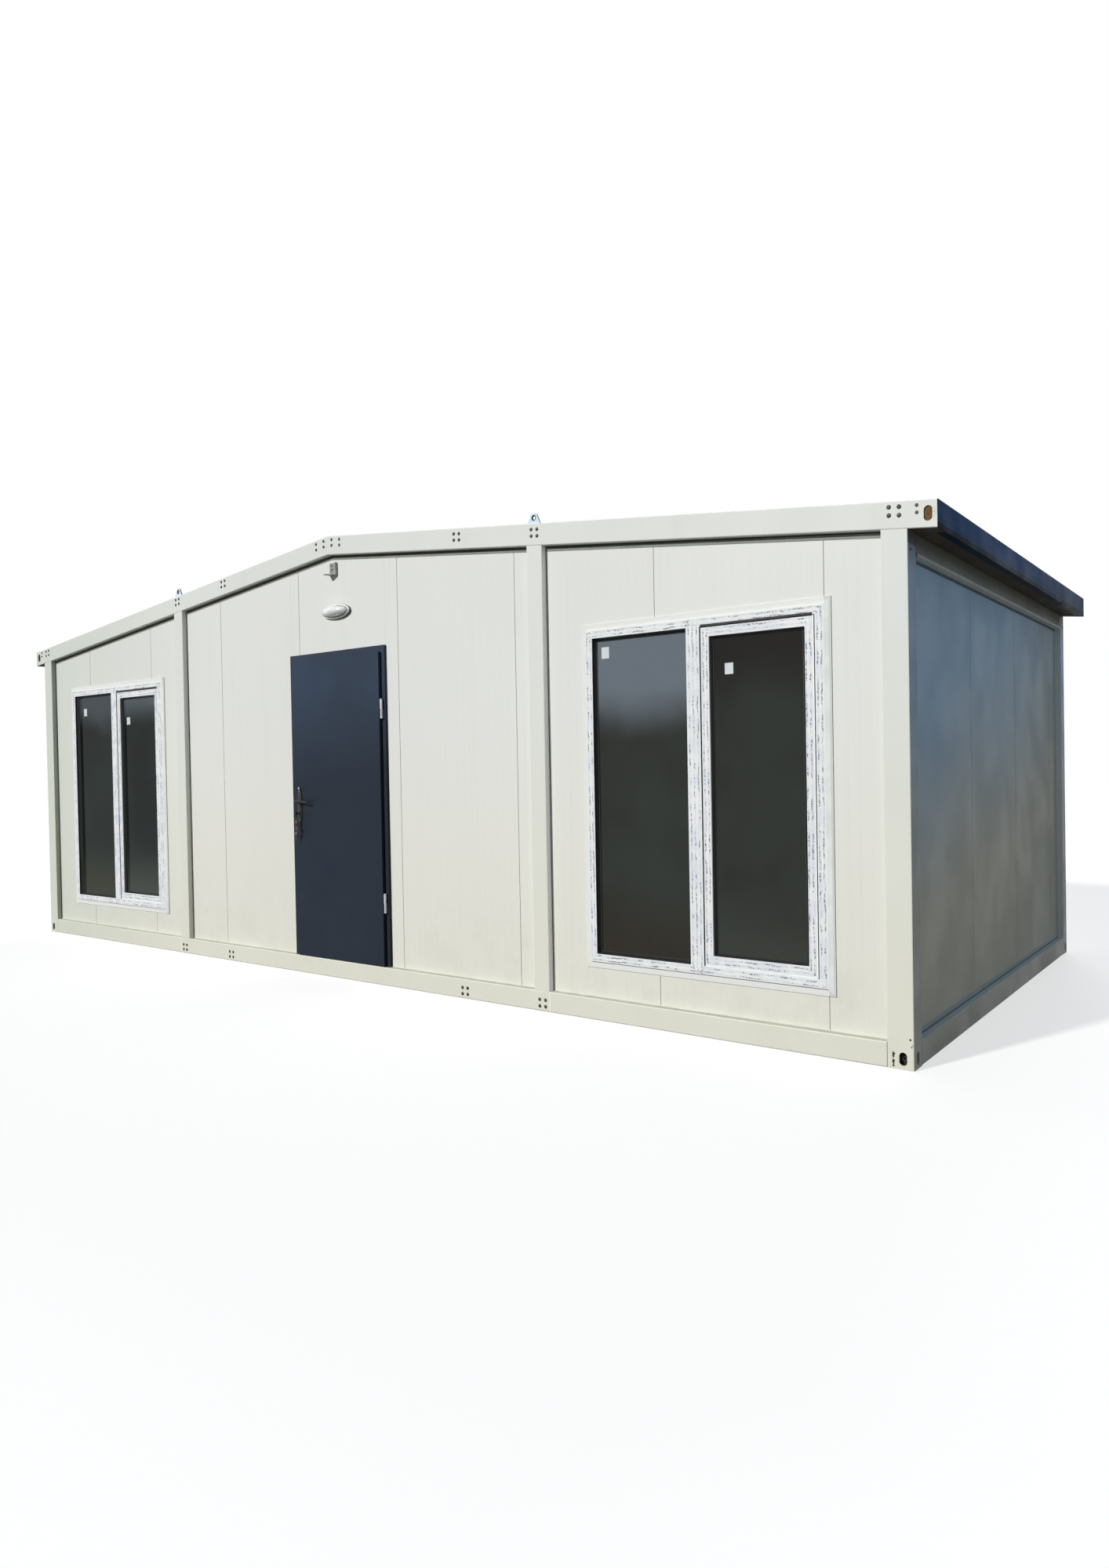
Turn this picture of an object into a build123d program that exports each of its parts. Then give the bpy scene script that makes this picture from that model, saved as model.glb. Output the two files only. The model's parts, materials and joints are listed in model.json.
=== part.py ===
from build123d import *
import math
import os

# All sizes in millimetres. X runs right along the front, Y runs from front to back, Z is up.
# The origin is on the ground, in the middle of the steel frame's plan.

# Overall size
width = 7800.0
depth = 3320.0
eave_height = 2396.0
roof_pitch = 6.25
eave_overhang = 134.0

# Steel frame
frame_depth = 110.0
tube_wall = 5.0
tube_corner = 6.0
base_height = 115.0
corner_post_width = 124.0
centre_post_width = 112.0
wing_width = 2068.0
gable_beam_height = 124.0
eave_beam_height = 106.0
eave_beam_width = 80.0

# Corner castings and beam-end apertures
casting_wall = 8.0
casting_slot_width = 36.0
casting_slot_height = 60.0
casting_slot_lift = 47.0
casting_slot_inset = 51.0
end_slot_width = 38.0
end_slot_height = 67.0
end_slot_inset = 44.0
end_slot_drop = 60.0

# Floor
deck_thickness = 18.0
bearer_width = 60.0
bearer_wall = 4.0
hinge_bearer_inset = 50.0
inner_bearer_inset = 652.0
wing_bearer_insets = (1460.0, 800.0)

# Sandwich walls
wall_thickness = 50.0
wall_recess = 40.0

# Roof
ceiling_lift = 6.0
roof_thickness = 86.0
rib_height = 22.0
rib_top_width = 28.0
rib_base_width = 64.0
rib_spacing = 250.0
ridge_cap_half = 160.0
ridge_cap_thickness = 3.0
fascia_thickness = 4.0
fascia_lip = 34.0

# Lifting lugs
lug_inset = 58.0
lug_thickness = 9.0
lug_width = 90.0
lug_top_width = 36.0
lug_height = 59.0
lug_corner = 22.0
lug_hole = 25.0
lug_hole_drop = 27.0
lug_setback = 7.0

# Door opening and frame
door_left = -445.0
door_width = 952.0
door_head_drop = 212.0
door_frame_face = 21.0
door_frame_depth = 92.0
hinge_jamb_width = 30.0
lock_jamb_width = 38.0
head_width = 55.0
stop_width = 9.0
stop_thickness = 20.0
sill_height = 24.0
door_gap = 5.0

# Door leaf
leaf_thickness = 45.0
lip_thickness = 16.0
lip_overlap = 18.0
lock_lip_overlap = 10.0
sill_lip_clearance = 6.0

# Door hinges
hinge_radius = 8.0
hinge_offset = 12.0
hinge_setback = 9.0
hinge_height = 122.0
hinge_rise = 411.0
hinge_drop = 408.0
pin_radius = 4.0
running_clearance = 0.1
knuckle_gap = 0.3
hinge_web = 8.0

# Door furniture
plate_centre_inset = 68.0
plate_width = 42.0
plate_height = 255.0
plate_bottom = 1022.0
plate_thickness = 7.0
plate_finial = 34.0
lever_height = 1178.0
lever_neck_radius = 9.0
lever_length = 130.0
lever_thickness = 13.0
lever_grip_height = 18.0
lever_reach = 48.5
lever_curl = 14.0
lever_bend = 11.0
spindle_radius = 5.0
spindle_hole_radius = 8.0
lock_height = 1098.0
lock_radius = 8.5
lock_proud = 5.0
lock_fit = 0.2

# Windows
window_width = 1450.0
window_head_drop = 245.0
window_sill = 279.0
window_shift_right = -4.0
window_shift_left = 32.0
flange_overlap = 35.0
flange_thickness = 8.0
window_proud = 18.0
window_frame_depth = 70.0
frame_bar = 43.0
mullion_width = 78.0
fixed_light_width = 593.0
bead_width = 10.0
bead_nose = 3.0
bead_depth = 18.0
sash_bar = 56.0
sash_clearance = 6.0
sash_setback = 4.0
sash_depth = 58.0
sash_stop = 16.0
glass_thickness = 20.0
glass_setback = 30.0
glass_rebate = 12.0
rebate_fit = 0.5
stay_depth = 12.0
stay_height = 60.0

# Lamp and cable bracket
lamp_centre = 41.0
lamp_over_door = 260.0
lamp_width = 280.0
lamp_tall = 100.0
lamp_base_depth = 24.0
lamp_base_edge = 8.0
lamp_dome_depth = 50.0
lamp_rim = 14.0
lamp_facets = 20
lamp_rings = 4
lamp_crown_tilt = 78.0
bracket_centre = 13.0
bracket_width = 76.0
bracket_drop = 51.0
bracket_height = 82.0
bracket_reach = 60.0
bracket_flap = 22.0
bracket_tip = 20.0
bracket_sheet = 4.0

# Derived places
front = -depth / 2
half_width = width / 2
half_centre = half_width - wing_width
slope = math.tan(math.radians(roof_pitch))
roof_end = half_width + eave_overhang
beam_end = roof_end - fascia_thickness
wall_face = front + wall_recess
wall_back = wall_face + wall_thickness
deck_top = base_height
door_right = door_left + door_width
door_top = eave_height - door_head_drop
hinge_heights = (base_height + hinge_rise, door_top - hinge_drop)
window_height = eave_height - window_head_drop - window_sill
wing_middle = (half_centre + half_width - corner_post_width) / 2
window_centre_right = wing_middle + window_shift_right
window_centre_left = window_shift_left - wing_middle
lug_line = half_centre - lug_inset
lamp_height = door_top + lamp_over_door


# Roof underside, on the plane of the gable beams' lower faces, at distance x from the ridge
def underside(x):
    return eave_height + (half_width - abs(x)) * slope


# Top of the gable beams at distance x from the ridge
def topside(x):
    return underside(x) + gable_beam_height


# Plain block between opposite corners
def block(x0, x1, y0, y1, z0, z1):
    return Pos(x0, y0, z0) * Box(x1 - x0, y1 - y0, z1 - z0, align=(Align.MIN,) * 3)


# Block whose edges along one axis are rounded, as on a rolled tube
def tube_block(x0, x1, y0, y1, z0, z1, axis):
    return fillet(block(x0, x1, y0, y1, z0, z1).edges().filter_by(axis), tube_corner)


# Outline in the XZ plane, given as (x, z) points, carried back from y0 to y1
def upright(points, y0, y1):
    face = make_face(Polyline(*[(x, y0, z) for x, z in points], close=True))
    return extrude(face, amount=y1 - y0, dir=(0, 1, 0))


# Rod along Y
def rod_y(x, z, y0, y1, radius):
    return extrude(Plane(origin=(x, y0, z), z_dir=(0, 1, 0)) * Circle(radius), amount=y1 - y0)


# Rod along Z
def rod_z(x, y, z0, z1, radius):
    return extrude(Plane(origin=(x, y, z0)) * Circle(radius), amount=z1 - z0)


# Upright long hole with round ends, cut along Y or X
def long_hole(centre, wide, tall, direction, length):
    plane = Plane(origin=centre, x_dir=(0, 0, 1), z_dir=direction)
    return extrude(plane * SlotOverall(tall, wide), amount=length, both=True)


def mirror_x(solid):
    return mirror(solid, about=Plane.YZ)


def mirror_y(solid):
    return mirror(solid, about=Plane.XZ)


# The four corners of a piece modelled at the front right
def four_corners(solid):
    pair = [solid, mirror_x(solid)]
    return pair + [mirror_y(one) for one in pair]


# Base beam between the corner castings, front edge
def base_beam_front():
    reach = half_width - corner_post_width
    outer = tube_block(-reach, reach, front, front + frame_depth, 0, base_height, Axis.X)
    inner = block(-reach, reach, front + tube_wall, front + frame_depth - tube_wall,
                  tube_wall, base_height - tube_wall)
    return outer - inner


# Base beam between the corner castings, right-hand end
def base_beam_right():
    reach = depth / 2 - frame_depth
    outer = tube_block(half_width - corner_post_width, half_width, -reach, reach, 0, base_height, Axis.Y)
    inner = block(half_width - corner_post_width + tube_wall, half_width - tube_wall, -reach, reach,
                  tube_wall, base_height - tube_wall)
    return outer - inner


# Hollow corner casting with a long hole in each outer face
def corner_casting():
    x0 = half_width - corner_post_width
    y1 = front + frame_depth
    casting = tube_block(x0, half_width, front, y1, 0, base_height, Axis.Z)
    casting -= block(x0 + casting_wall, half_width - casting_wall, front + casting_wall,
                     y1 - casting_wall, casting_wall, base_height - casting_wall)
    front_hole = (half_width - casting_slot_inset, front, casting_slot_lift)
    side_hole = (half_width, front + casting_slot_inset, casting_slot_lift)
    casting -= long_hole(front_hole, casting_slot_width, casting_slot_height, (0, 1, 0), casting_wall * 2)
    casting -= long_hole(side_hole, casting_slot_width, casting_slot_height, (1, 0, 0), casting_wall * 2)
    return casting


# Square tube post from the base frame to the sloping gable beam
def post(x0, x1):
    def outline(inset):
        low, high = x0 + inset, x1 - inset
        return [(low, base_height), (high, base_height), (high, underside(high)), (low, underside(low))]
    outer = upright(outline(0), front, front + frame_depth)
    outer = fillet(outer.edges().filter_by(Axis.Z), tube_corner)
    return outer - upright(outline(tube_wall), front + tube_wall, front + frame_depth - tube_wall)


# Sloping gable beam from the ridge to the right-hand eave, closed at both ends
def gable_beam():
    def outline(inset):
        near, far = inset, beam_end - inset
        return [(near, underside(near) + inset), (far, underside(far) + inset),
                (far, topside(far) - inset), (near, topside(near) - inset)]
    beam = upright(outline(0), front, front + frame_depth)
    long_edges = beam.edges().filter_by(lambda edge: edge.length > half_width)
    beam = fillet(long_edges, tube_corner)
    beam -= upright(outline(tube_wall), front + tube_wall, front + frame_depth - tube_wall)
    hole_x = roof_end - end_slot_inset
    hole = (hole_x, front, topside(hole_x) - end_slot_drop)
    return beam - long_hole(hole, end_slot_width, end_slot_height, (0, 1, 0), tube_wall * 2)


# Eave beam along the top of the right-hand end wall
def eave_beam():
    reach = depth / 2 - frame_depth
    top = eave_height + ceiling_lift
    bottom = top - eave_beam_height
    outer = tube_block(half_width - eave_beam_width, half_width, -reach, reach, bottom, top, Axis.Y)
    inner = block(half_width - eave_beam_width + tube_wall, half_width - tube_wall, -reach, reach,
                  bottom + tube_wall, top - tube_wall)
    return outer - inner


# Folded fascia that closes the overhanging right-hand eave
def eave_fascia():
    reach = depth / 2
    bottom = underside(roof_end)
    web = block(beam_end, roof_end, -reach, reach, bottom, topside(roof_end))
    lip = block(beam_end - fascia_lip, beam_end, -reach + frame_depth, reach - frame_depth,
                bottom, bottom + fascia_thickness)
    return web + lip


# Section of the ribbed roof panel, in the YZ plane at the ridge
def roof_section():
    reach = depth / 2 - frame_depth
    bottom = underside(0) + ceiling_lift
    skin = bottom + roof_thickness
    count = int((2 * reach - rib_base_width) // rib_spacing) + 1
    points = [(-reach, bottom), (-reach, skin)]
    for index in range(count):
        y = (index - (count - 1) / 2) * rib_spacing
        points += [(y - rib_base_width / 2, skin), (y - rib_top_width / 2, skin + rib_height),
                   (y + rib_top_width / 2, skin + rib_height), (y + rib_base_width / 2, skin)]
    points += [(reach, skin), (reach, bottom)]
    return make_face(Polyline(*[(0, y, z) for y, z in points], close=True))


# Insulated roof panel from the ridge down to the right-hand fascia
def roof_panel():
    run = Vector(beam_end, 0, -beam_end * slope)
    return Solid.extrude(roof_section().face(), run)


# Folded ridge cap on the ribs of both roof panels
def ridge_cap():
    reach = depth / 2 - frame_depth
    lift = ceiling_lift + roof_thickness + rib_height
    low = [(x, underside(x) + lift) for x in (-ridge_cap_half, 0, ridge_cap_half)]
    high = [(x, z + ridge_cap_thickness) for x, z in reversed(low)]
    return upright(low + high, -reach, reach)


# Lifting lug welded on the gable beam, front right
def lifting_lug():
    y0 = front + lug_setback
    seat_left, seat_right = lug_line - lug_width / 2, lug_line + lug_width / 2
    top = topside(lug_line) + lug_height
    points = [(seat_left, topside(seat_left)), (seat_right, topside(seat_right)),
              (lug_line + lug_top_width / 2, top), (lug_line - lug_top_width / 2, top)]
    plate = upright(points, y0, y0 + lug_thickness)
    crown = plate.edges().filter_by(Axis.Y).sort_by(Axis.Z)[-2:]
    plate = fillet(crown, lug_corner)
    return plate - rod_y(lug_line, top - lug_hole_drop, y0 - 1, y0 + lug_thickness + 1, lug_hole / 2)


# Sandwich wall panel under the sloping roof, from x0 to x1, standing at height z0
def front_panel(x0, x1, z0):
    points = [(x0, z0), (x1, z0), (x1, underside(x1))]
    if x0 < 0 < x1:
        points.append((0, underside(0)))
    points.append((x0, underside(x0)))
    return upright(points, wall_face, wall_back)


# Wing wall with its window hole
def wing_wall(x0, x1, window_centre):
    reach = window_width / 2 - flange_overlap
    hole = block(window_centre - reach, window_centre + reach, wall_face, wall_back,
                 window_sill + flange_overlap, window_sill + window_height - flange_overlap)
    return front_panel(x0, x1, base_height) - hole


# End wall between the corner posts, right-hand end
def side_wall():
    face = half_width - wall_recess
    reach = depth / 2 - frame_depth
    top = eave_height + ceiling_lift - eave_beam_height
    return block(face - wall_thickness, face, -reach, reach, base_height, top)


# Deck board on the bearers, level with the base frame
def floor_deck():
    reach_x = half_width - corner_post_width
    reach_y = depth / 2 - frame_depth
    return block(-reach_x, reach_x, -reach_y, reach_y, deck_top - deck_thickness, deck_top)


# Tube bearers under the deck, from front to back
def floor_bearers():
    reach = depth / 2 - frame_depth
    top = deck_top - deck_thickness
    lines = [0.0]
    places = [half_centre - inset for inset in (inner_bearer_inset, hinge_bearer_inset)]
    places += [half_width - inset for inset in wing_bearer_insets]
    for line in places:
        lines += [line, -line]
    bearers = []
    for x in sorted(lines):
        outer = block(x - bearer_width / 2, x + bearer_width / 2, -reach, reach, 0, top)
        inner = block(x - bearer_width / 2 + bearer_wall, x + bearer_width / 2 - bearer_wall, -reach, reach,
                      bearer_wall, top - bearer_wall)
        bearers.append(outer - inner)
    return bearers


# Rectangular ring in the wall plane: outer bounds, bar width, and front and back faces
def ring(bounds, bar, y0, y1):
    x0, x1, z0, z1 = bounds
    return block(x0, x1, y0, y1, z0, z1) - block(x0 + bar, x1 - bar, y0, y1, z0 + bar, z1 - bar)


# Ring whose inner faces slope inwards from the front bar width to the back bar width
def sloped_ring(bounds, front_bar, back_bar, y0, y1):
    x0, x1, z0, z1 = bounds
    return block(x0, x1, y0, y1, z0, z1) - sloped_hole(bounds, front_bar, back_bar, y0, y1)


# Hole that narrows from the front, its edges set in from the bounds
def sloped_hole(bounds, front_inset, back_inset, y0, y1):
    faces = []
    for inset, y in ((front_inset, y0), (back_inset, y1)):
        x0, x1, z0, z1 = grow(bounds, -inset)
        corners = [(x0, y, z0), (x1, y, z0), (x1, y, z1), (x0, y, z1)]
        faces.append(make_face(Polyline(*corners, close=True)))
    return loft(faces, ruled=True)


def grow(bounds, amount):
    x0, x1, z0, z1 = bounds
    return (x0 - amount, x1 + amount, z0 - amount, z1 + amount)


# Plan of one window: outer flange, fixed light and sash pocket, as (x0, x1, z0, z1)
def window_plan(centre):
    x0, x1 = centre - window_width / 2, centre + window_width / 2
    outer = (x0, x1, window_sill, window_sill + window_height)
    inset = flange_overlap + frame_bar
    low, high = window_sill + inset, window_sill + window_height - inset
    light = (x0 + inset, x0 + inset + fixed_light_width, low, high)
    pocket = (light[1] + mullion_width, x1 - inset, low, high)
    return outer, light, pocket


# Window frame: flange on the wall, body through the wall, mullion, glazing beads and sash stop
def window_frame(centre):
    outer, light, pocket = window_plan(centre)
    face = wall_face - window_proud
    body = grow(outer, -flange_overlap)
    back = face + window_frame_depth
    frame = block(body[0], body[1], face, back, body[2], body[3])
    frame += block(outer[0], outer[1], wall_face - flange_thickness, wall_face, outer[2], outer[3])
    frame -= block(light[0], light[1], face, back, light[2], light[3])
    frame -= block(pocket[0], pocket[1], face, back, pocket[2], pocket[3])
    pane_face = face + glass_setback
    frame += sloped_ring(light, bead_nose, bead_width, pane_face - bead_depth, pane_face - rebate_fit)
    frame += ring(light, bead_width, pane_face + glass_thickness + rebate_fit, back)
    frame += ring(pocket, sash_stop, face + sash_setback + sash_depth + rebate_fit, back)
    return frame


# Sash bounds inside its pocket
def sash_bounds(centre):
    return grow(window_plan(centre)[2], -sash_clearance)


# Side-hung sash with its glazing rebate and the stays that carry it
def window_sash(centre):
    bounds = sash_bounds(centre)
    y0 = wall_face - window_proud + sash_setback
    y1 = y0 + sash_depth
    sash = ring(bounds, sash_bar, y0, y1)
    sash -= sloped_hole(bounds, sash_bar - bead_width, sash_bar, y0, y0 + bead_depth)
    pane = grow(bounds, -sash_bar + glass_rebate + rebate_fit)
    pane_face = wall_face - window_proud + glass_setback
    sash -= block(pane[0], pane[1], pane_face - rebate_fit, pane_face + glass_thickness + rebate_fit,
                  pane[2], pane[3])
    mid_y = (y0 + y1) / 2
    for z in (bounds[2] + sash_bar, bounds[3] - sash_bar):
        sash += block(bounds[1], bounds[1] + sash_clearance, mid_y, mid_y + stay_depth, z, z + stay_height)
    return sash


# Fixed pane and sash pane
def window_glass(centre):
    light = window_plan(centre)[1]
    face = wall_face - window_proud + glass_setback
    fixed = block(light[0], light[1], face, face + glass_thickness, light[2], light[3])
    bounds = grow(sash_bounds(centre), -sash_bar + glass_rebate)
    moving = block(bounds[0], bounds[1], face, face + glass_thickness, bounds[2], bounds[3])
    return [fixed, moving]


# Clear opening between the jambs, head and sill, as (x0, x1, z0, z1)
def door_opening():
    return (door_left + lock_jamb_width, door_right - hinge_jamb_width,
            base_height + sill_height, door_top - head_width)


# Door frame: jambs, head and sill with the stop that the leaf closes on
def door_frame():
    x0, x1, z0, z1 = door_opening()
    face = front + door_frame_face
    back = face + door_frame_depth
    stop_face = front + leaf_thickness + door_gap
    frame = block(door_left, door_right, face, back, base_height, door_top)
    frame -= block(x0, x1, face, back, z0, z1)
    stop = block(x0, x1, stop_face, stop_face + stop_thickness, z0, z1)
    stop -= block(x0 + stop_width, x1 - stop_width, stop_face, stop_face + stop_thickness,
                  z0, z1 - stop_width)
    return frame + stop


# Leaf: body between the jambs and a thinner lip over the lock jamb, head and sill
def leaf_body():
    x0, x1, z0, z1 = door_opening()
    return (x0 + door_gap, x1 - door_gap, z0 + door_gap, z1 - door_gap)


def door_leaf():
    x0, x1, z0, z1 = leaf_body()
    body = block(x0, x1, front, front + leaf_thickness, z0, z1)
    lip = block(x0 - lock_lip_overlap, x1, front, front + lip_thickness,
                base_height + sill_lip_clearance, z1 + lip_overlap)
    leaf = body + lip
    leaf -= rod_y(plate_x(), lever_height, front, front + leaf_thickness, spindle_hole_radius)
    return leaf - rod_y(plate_x(), lock_height, front, front + leaf_thickness, lock_radius + lock_fit)


# Middle line of the lever plates
def plate_x():
    return leaf_body()[0] - lock_lip_overlap + plate_centre_inset


# Hinge pin line in plan
def hinge_axis():
    return leaf_body()[1] + hinge_offset, front + hinge_setback


# Lower knuckles and pins, carried by the hinge jamb
def frame_hinges():
    x, y = hinge_axis()
    jamb_face = front + door_frame_face
    halves = []
    for middle in hinge_heights:
        bottom, top = middle - hinge_height / 2, middle + hinge_height / 2
        knuckle = rod_z(x, y, bottom, middle - knuckle_gap / 2, hinge_radius)
        knuckle += block(x - hinge_web / 2, x + hinge_web / 2, y, jamb_face, bottom, middle - knuckle_gap / 2)
        halves.append(knuckle + rod_z(x, y, middle - knuckle_gap / 2, top - hinge_radius, pin_radius))
    return halves


# Upper knuckles, carried by the leaf
def leaf_hinges():
    x, y = hinge_axis()
    edge = leaf_body()[1]
    halves = []
    for middle in hinge_heights:
        bottom, top = middle + knuckle_gap / 2, middle + hinge_height / 2
        knuckle = rod_z(x, y, bottom, top, hinge_radius)
        knuckle += block(edge, x, y - hinge_web / 2, y + hinge_web / 2, bottom, top)
        bore_top = top - hinge_radius + knuckle_gap
        halves.append(knuckle - rod_z(x, y, bottom, bore_top, pin_radius + running_clearance))
    return halves


# Long lever plate with pointed ends, outside or inside the leaf
def lever_plate(y0, y1):
    x = plate_x()
    half = plate_width / 2
    z0, z1 = plate_bottom, plate_bottom + plate_height
    points = [(x - half, z0 + plate_finial), (x, z0), (x + half, z0 + plate_finial),
              (x + half, z1 - plate_finial), (x, z1), (x - half, z1 - plate_finial)]
    plate = upright(points, y0, y1)
    plate -= rod_y(x, lever_height, y0, y1, lever_neck_radius + running_clearance)
    return plate - rod_y(x, lock_height, y0, y1, lock_radius + lock_fit)


def lever_plates():
    leaf_back = front + leaf_thickness
    return [lever_plate(front - plate_thickness, front), lever_plate(leaf_back, leaf_back + plate_thickness)]


# Lock cylinder through the leaf and both plates
def lock_cylinder():
    reach = plate_thickness + lock_proud
    return rod_y(plate_x(), lock_height, front - reach, front + leaf_thickness + reach, lock_radius)


# One lever: a round neck out of the plate and a flat grip towards the hinges, its tip turned back
def lever_grip(y_leaf, side):
    x, z = plate_x(), lever_height
    outer, inner = y_leaf + side * lever_reach, y_leaf + side * (lever_reach - lever_thickness)
    end = x + lever_length
    outline = [(x - lever_neck_radius, outer), (end, outer), (end, inner - side * lever_curl),
               (end - lever_thickness, inner - side * lever_curl), (end - lever_thickness, inner),
               (x - lever_neck_radius, inner)]
    bottom = z - lever_grip_height / 2
    face = make_face(Polyline(*[(px, py, bottom) for px, py in outline], close=True))
    grip = extrude(face, amount=lever_grip_height, dir=(0, 0, 1))
    bend = grip.edges().filter_by(Axis.Z).sort_by_distance((end, outer, z))[0]
    grip = fillet(bend, lever_bend)
    neck_end = inner + side * lever_thickness / 2
    return grip + rod_y(x, z, min(y_leaf, neck_end), max(y_leaf, neck_end), lever_neck_radius)


def door_lever():
    leaf_back = front + leaf_thickness
    lever = rod_y(plate_x(), lever_height, front, leaf_back, spindle_radius)
    lever += lever_grip(front, -1)
    return lever + lever_grip(leaf_back, 1)


# Many-sided oval in a plane parallel to the wall
def lamp_oval(reach_x, reach_z, y):
    turns = [2 * math.pi * step / lamp_facets for step in range(lamp_facets)]
    return [(lamp_centre + reach_x * math.cos(turn), y, lamp_height + reach_z * math.sin(turn))
            for turn in turns]


# Lamp base on the wall, with a bevelled rim
def lamp_base():
    half_x, half_z = lamp_width / 2, lamp_tall / 2
    face = wall_face - lamp_base_depth
    ovals = [lamp_oval(half_x, half_z, wall_face), lamp_oval(half_x, half_z, face + lamp_base_edge),
             lamp_oval(half_x - lamp_base_edge, half_z - lamp_base_edge, face)]
    return loft([make_face(Polyline(*oval, close=True)) for oval in ovals], ruled=True)


# Faceted glass dome inside the rim
def lamp_glass():
    face = wall_face - lamp_base_depth
    reach_x, reach_z = lamp_width / 2 - lamp_rim, lamp_tall / 2 - lamp_rim
    ovals = []
    for step in range(lamp_rings):
        tilt = math.radians(lamp_crown_tilt) * step / (lamp_rings - 1)
        share = math.cos(tilt)
        ovals.append(lamp_oval(reach_x * share, reach_z * share, face - lamp_dome_depth * math.sin(tilt)))
    panes = [ovals[0], ovals[-1]]
    for wide, narrow in zip(ovals, ovals[1:]):
        panes += [[wide[i - 1], wide[i], narrow[i], narrow[i - 1]] for i in range(lamp_facets)]
    return Solid(Shell([Face(Wire.make_polygon(pane)) for pane in panes]))


# Bent cable bracket on the wall under the ridge, with a tapering tongue
def wall_bracket():
    x0, x1 = bracket_centre - bracket_width / 2, bracket_centre + bracket_width / 2
    z1 = underside(0) - bracket_drop
    z0 = z1 - bracket_height
    seat, lip, tip = wall_face - bracket_sheet, wall_face - bracket_flap, wall_face - bracket_reach
    plate = block(x0, x1, seat, wall_face, z0, z1)
    tongue = [(x0, seat), (x1, seat), (x1, lip), (x0 + bracket_tip, tip), (x0, tip)]
    face = make_face(Polyline(*[(x, y, z0) for x, y in tongue], close=True))
    flap = block(x1 - bracket_sheet, x1, lip, seat, z0 + bracket_sheet, z1)
    return plate + extrude(face, amount=bracket_sheet, dir=(0, 0, 1)) + flap


# One node: a solid, or like solids that stand apart
def save(name, piece):
    shape = Compound(children=list(piece)) if isinstance(piece, list) else piece
    export_step(shape, f"parts/{name}.step")


def frame_nodes():
    x_post = half_width - corner_post_width
    beam_f, beam_r = base_beam_front(), base_beam_right()
    posts = four_corners(post(x_post, half_width))
    inner_posts = four_corners(post(half_centre - centre_post_width, half_centre))
    gables = four_corners(gable_beam())
    corners = ("front_right", "front_left", "back_right", "back_left")
    nodes = {
        "base_beam_front": beam_f,
        "base_beam_back": mirror_y(beam_f),
        "base_beam_right": beam_r,
        "base_beam_left": mirror_x(beam_r),
        "corner_castings": four_corners(corner_casting()),
        "centre_posts_front": inner_posts[:2],
        "centre_posts_back": inner_posts[2:],
        "lifting_lugs": four_corners(lifting_lug()),
    }
    for corner, upright_post, gable in zip(corners, posts, gables):
        nodes[f"corner_post_{corner}"] = upright_post
        nodes[f"gable_beam_{corner}"] = gable
    return nodes


def roof_nodes():
    panel, beam, fascia = roof_panel(), eave_beam(), eave_fascia()
    return {
        "roof_panel_right": panel,
        "roof_panel_left": mirror_x(panel),
        "ridge_cap": ridge_cap(),
        "eave_beam_right": beam,
        "eave_beam_left": mirror_x(beam),
        "eave_fascia_right": fascia,
        "eave_fascia_left": mirror_x(fascia),
    }


def wall_nodes():
    wing_in, wing_out = half_centre, half_width - corner_post_width
    bay = half_centre - centre_post_width
    end = side_wall()
    return {
        "front_wall_right": wing_wall(wing_in, wing_out, window_centre_right),
        "front_wall_left": wing_wall(-wing_out, -wing_in, window_centre_left),
        "front_wall_beside_lock": front_panel(-bay, door_left, base_height),
        "front_wall_beside_hinge": front_panel(door_right, bay, base_height),
        "front_wall_over_door": front_panel(door_left, door_right, door_top),
        "back_wall_right": mirror_y(front_panel(wing_in, wing_out, base_height)),
        "back_wall_left": mirror_y(front_panel(-wing_out, -wing_in, base_height)),
        "back_wall_centre": mirror_y(front_panel(-bay, bay, base_height)),
        "side_wall_right": end,
        "side_wall_left": mirror_x(end),
        "floor_deck": floor_deck(),
        "floor_bearers": floor_bearers(),
    }


def window_nodes():
    nodes = {}
    for side, centre in (("right", window_centre_right), ("left", window_centre_left)):
        nodes[f"window_frame_{side}"] = window_frame(centre)
        nodes[f"window_sash_{side}"] = window_sash(centre)
        nodes[f"window_glass_{side}"] = window_glass(centre)
    return nodes


def door_nodes():
    return {
        "door_frame": door_frame(),
        "door_leaf": door_leaf(),
        "hinges_on_frame": frame_hinges(),
        "hinges_on_leaf": leaf_hinges(),
        "lever_plates": lever_plates(),
        "lock_cylinder": lock_cylinder(),
        "door_lever": door_lever(),
        "lamp_base": lamp_base(),
        "lamp_glass": lamp_glass(),
        "wall_bracket": wall_bracket(),
    }


os.makedirs("parts", exist_ok=True)
for group in (frame_nodes(), roof_nodes(), wall_nodes(), window_nodes(), door_nodes()):
    for name, piece in group.items():
        save(name, piece)
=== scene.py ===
import json
import random
from math import cos, pi, radians, sin, tan

import bmesh
import bpy
from mathutils import Matrix, Vector

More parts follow.
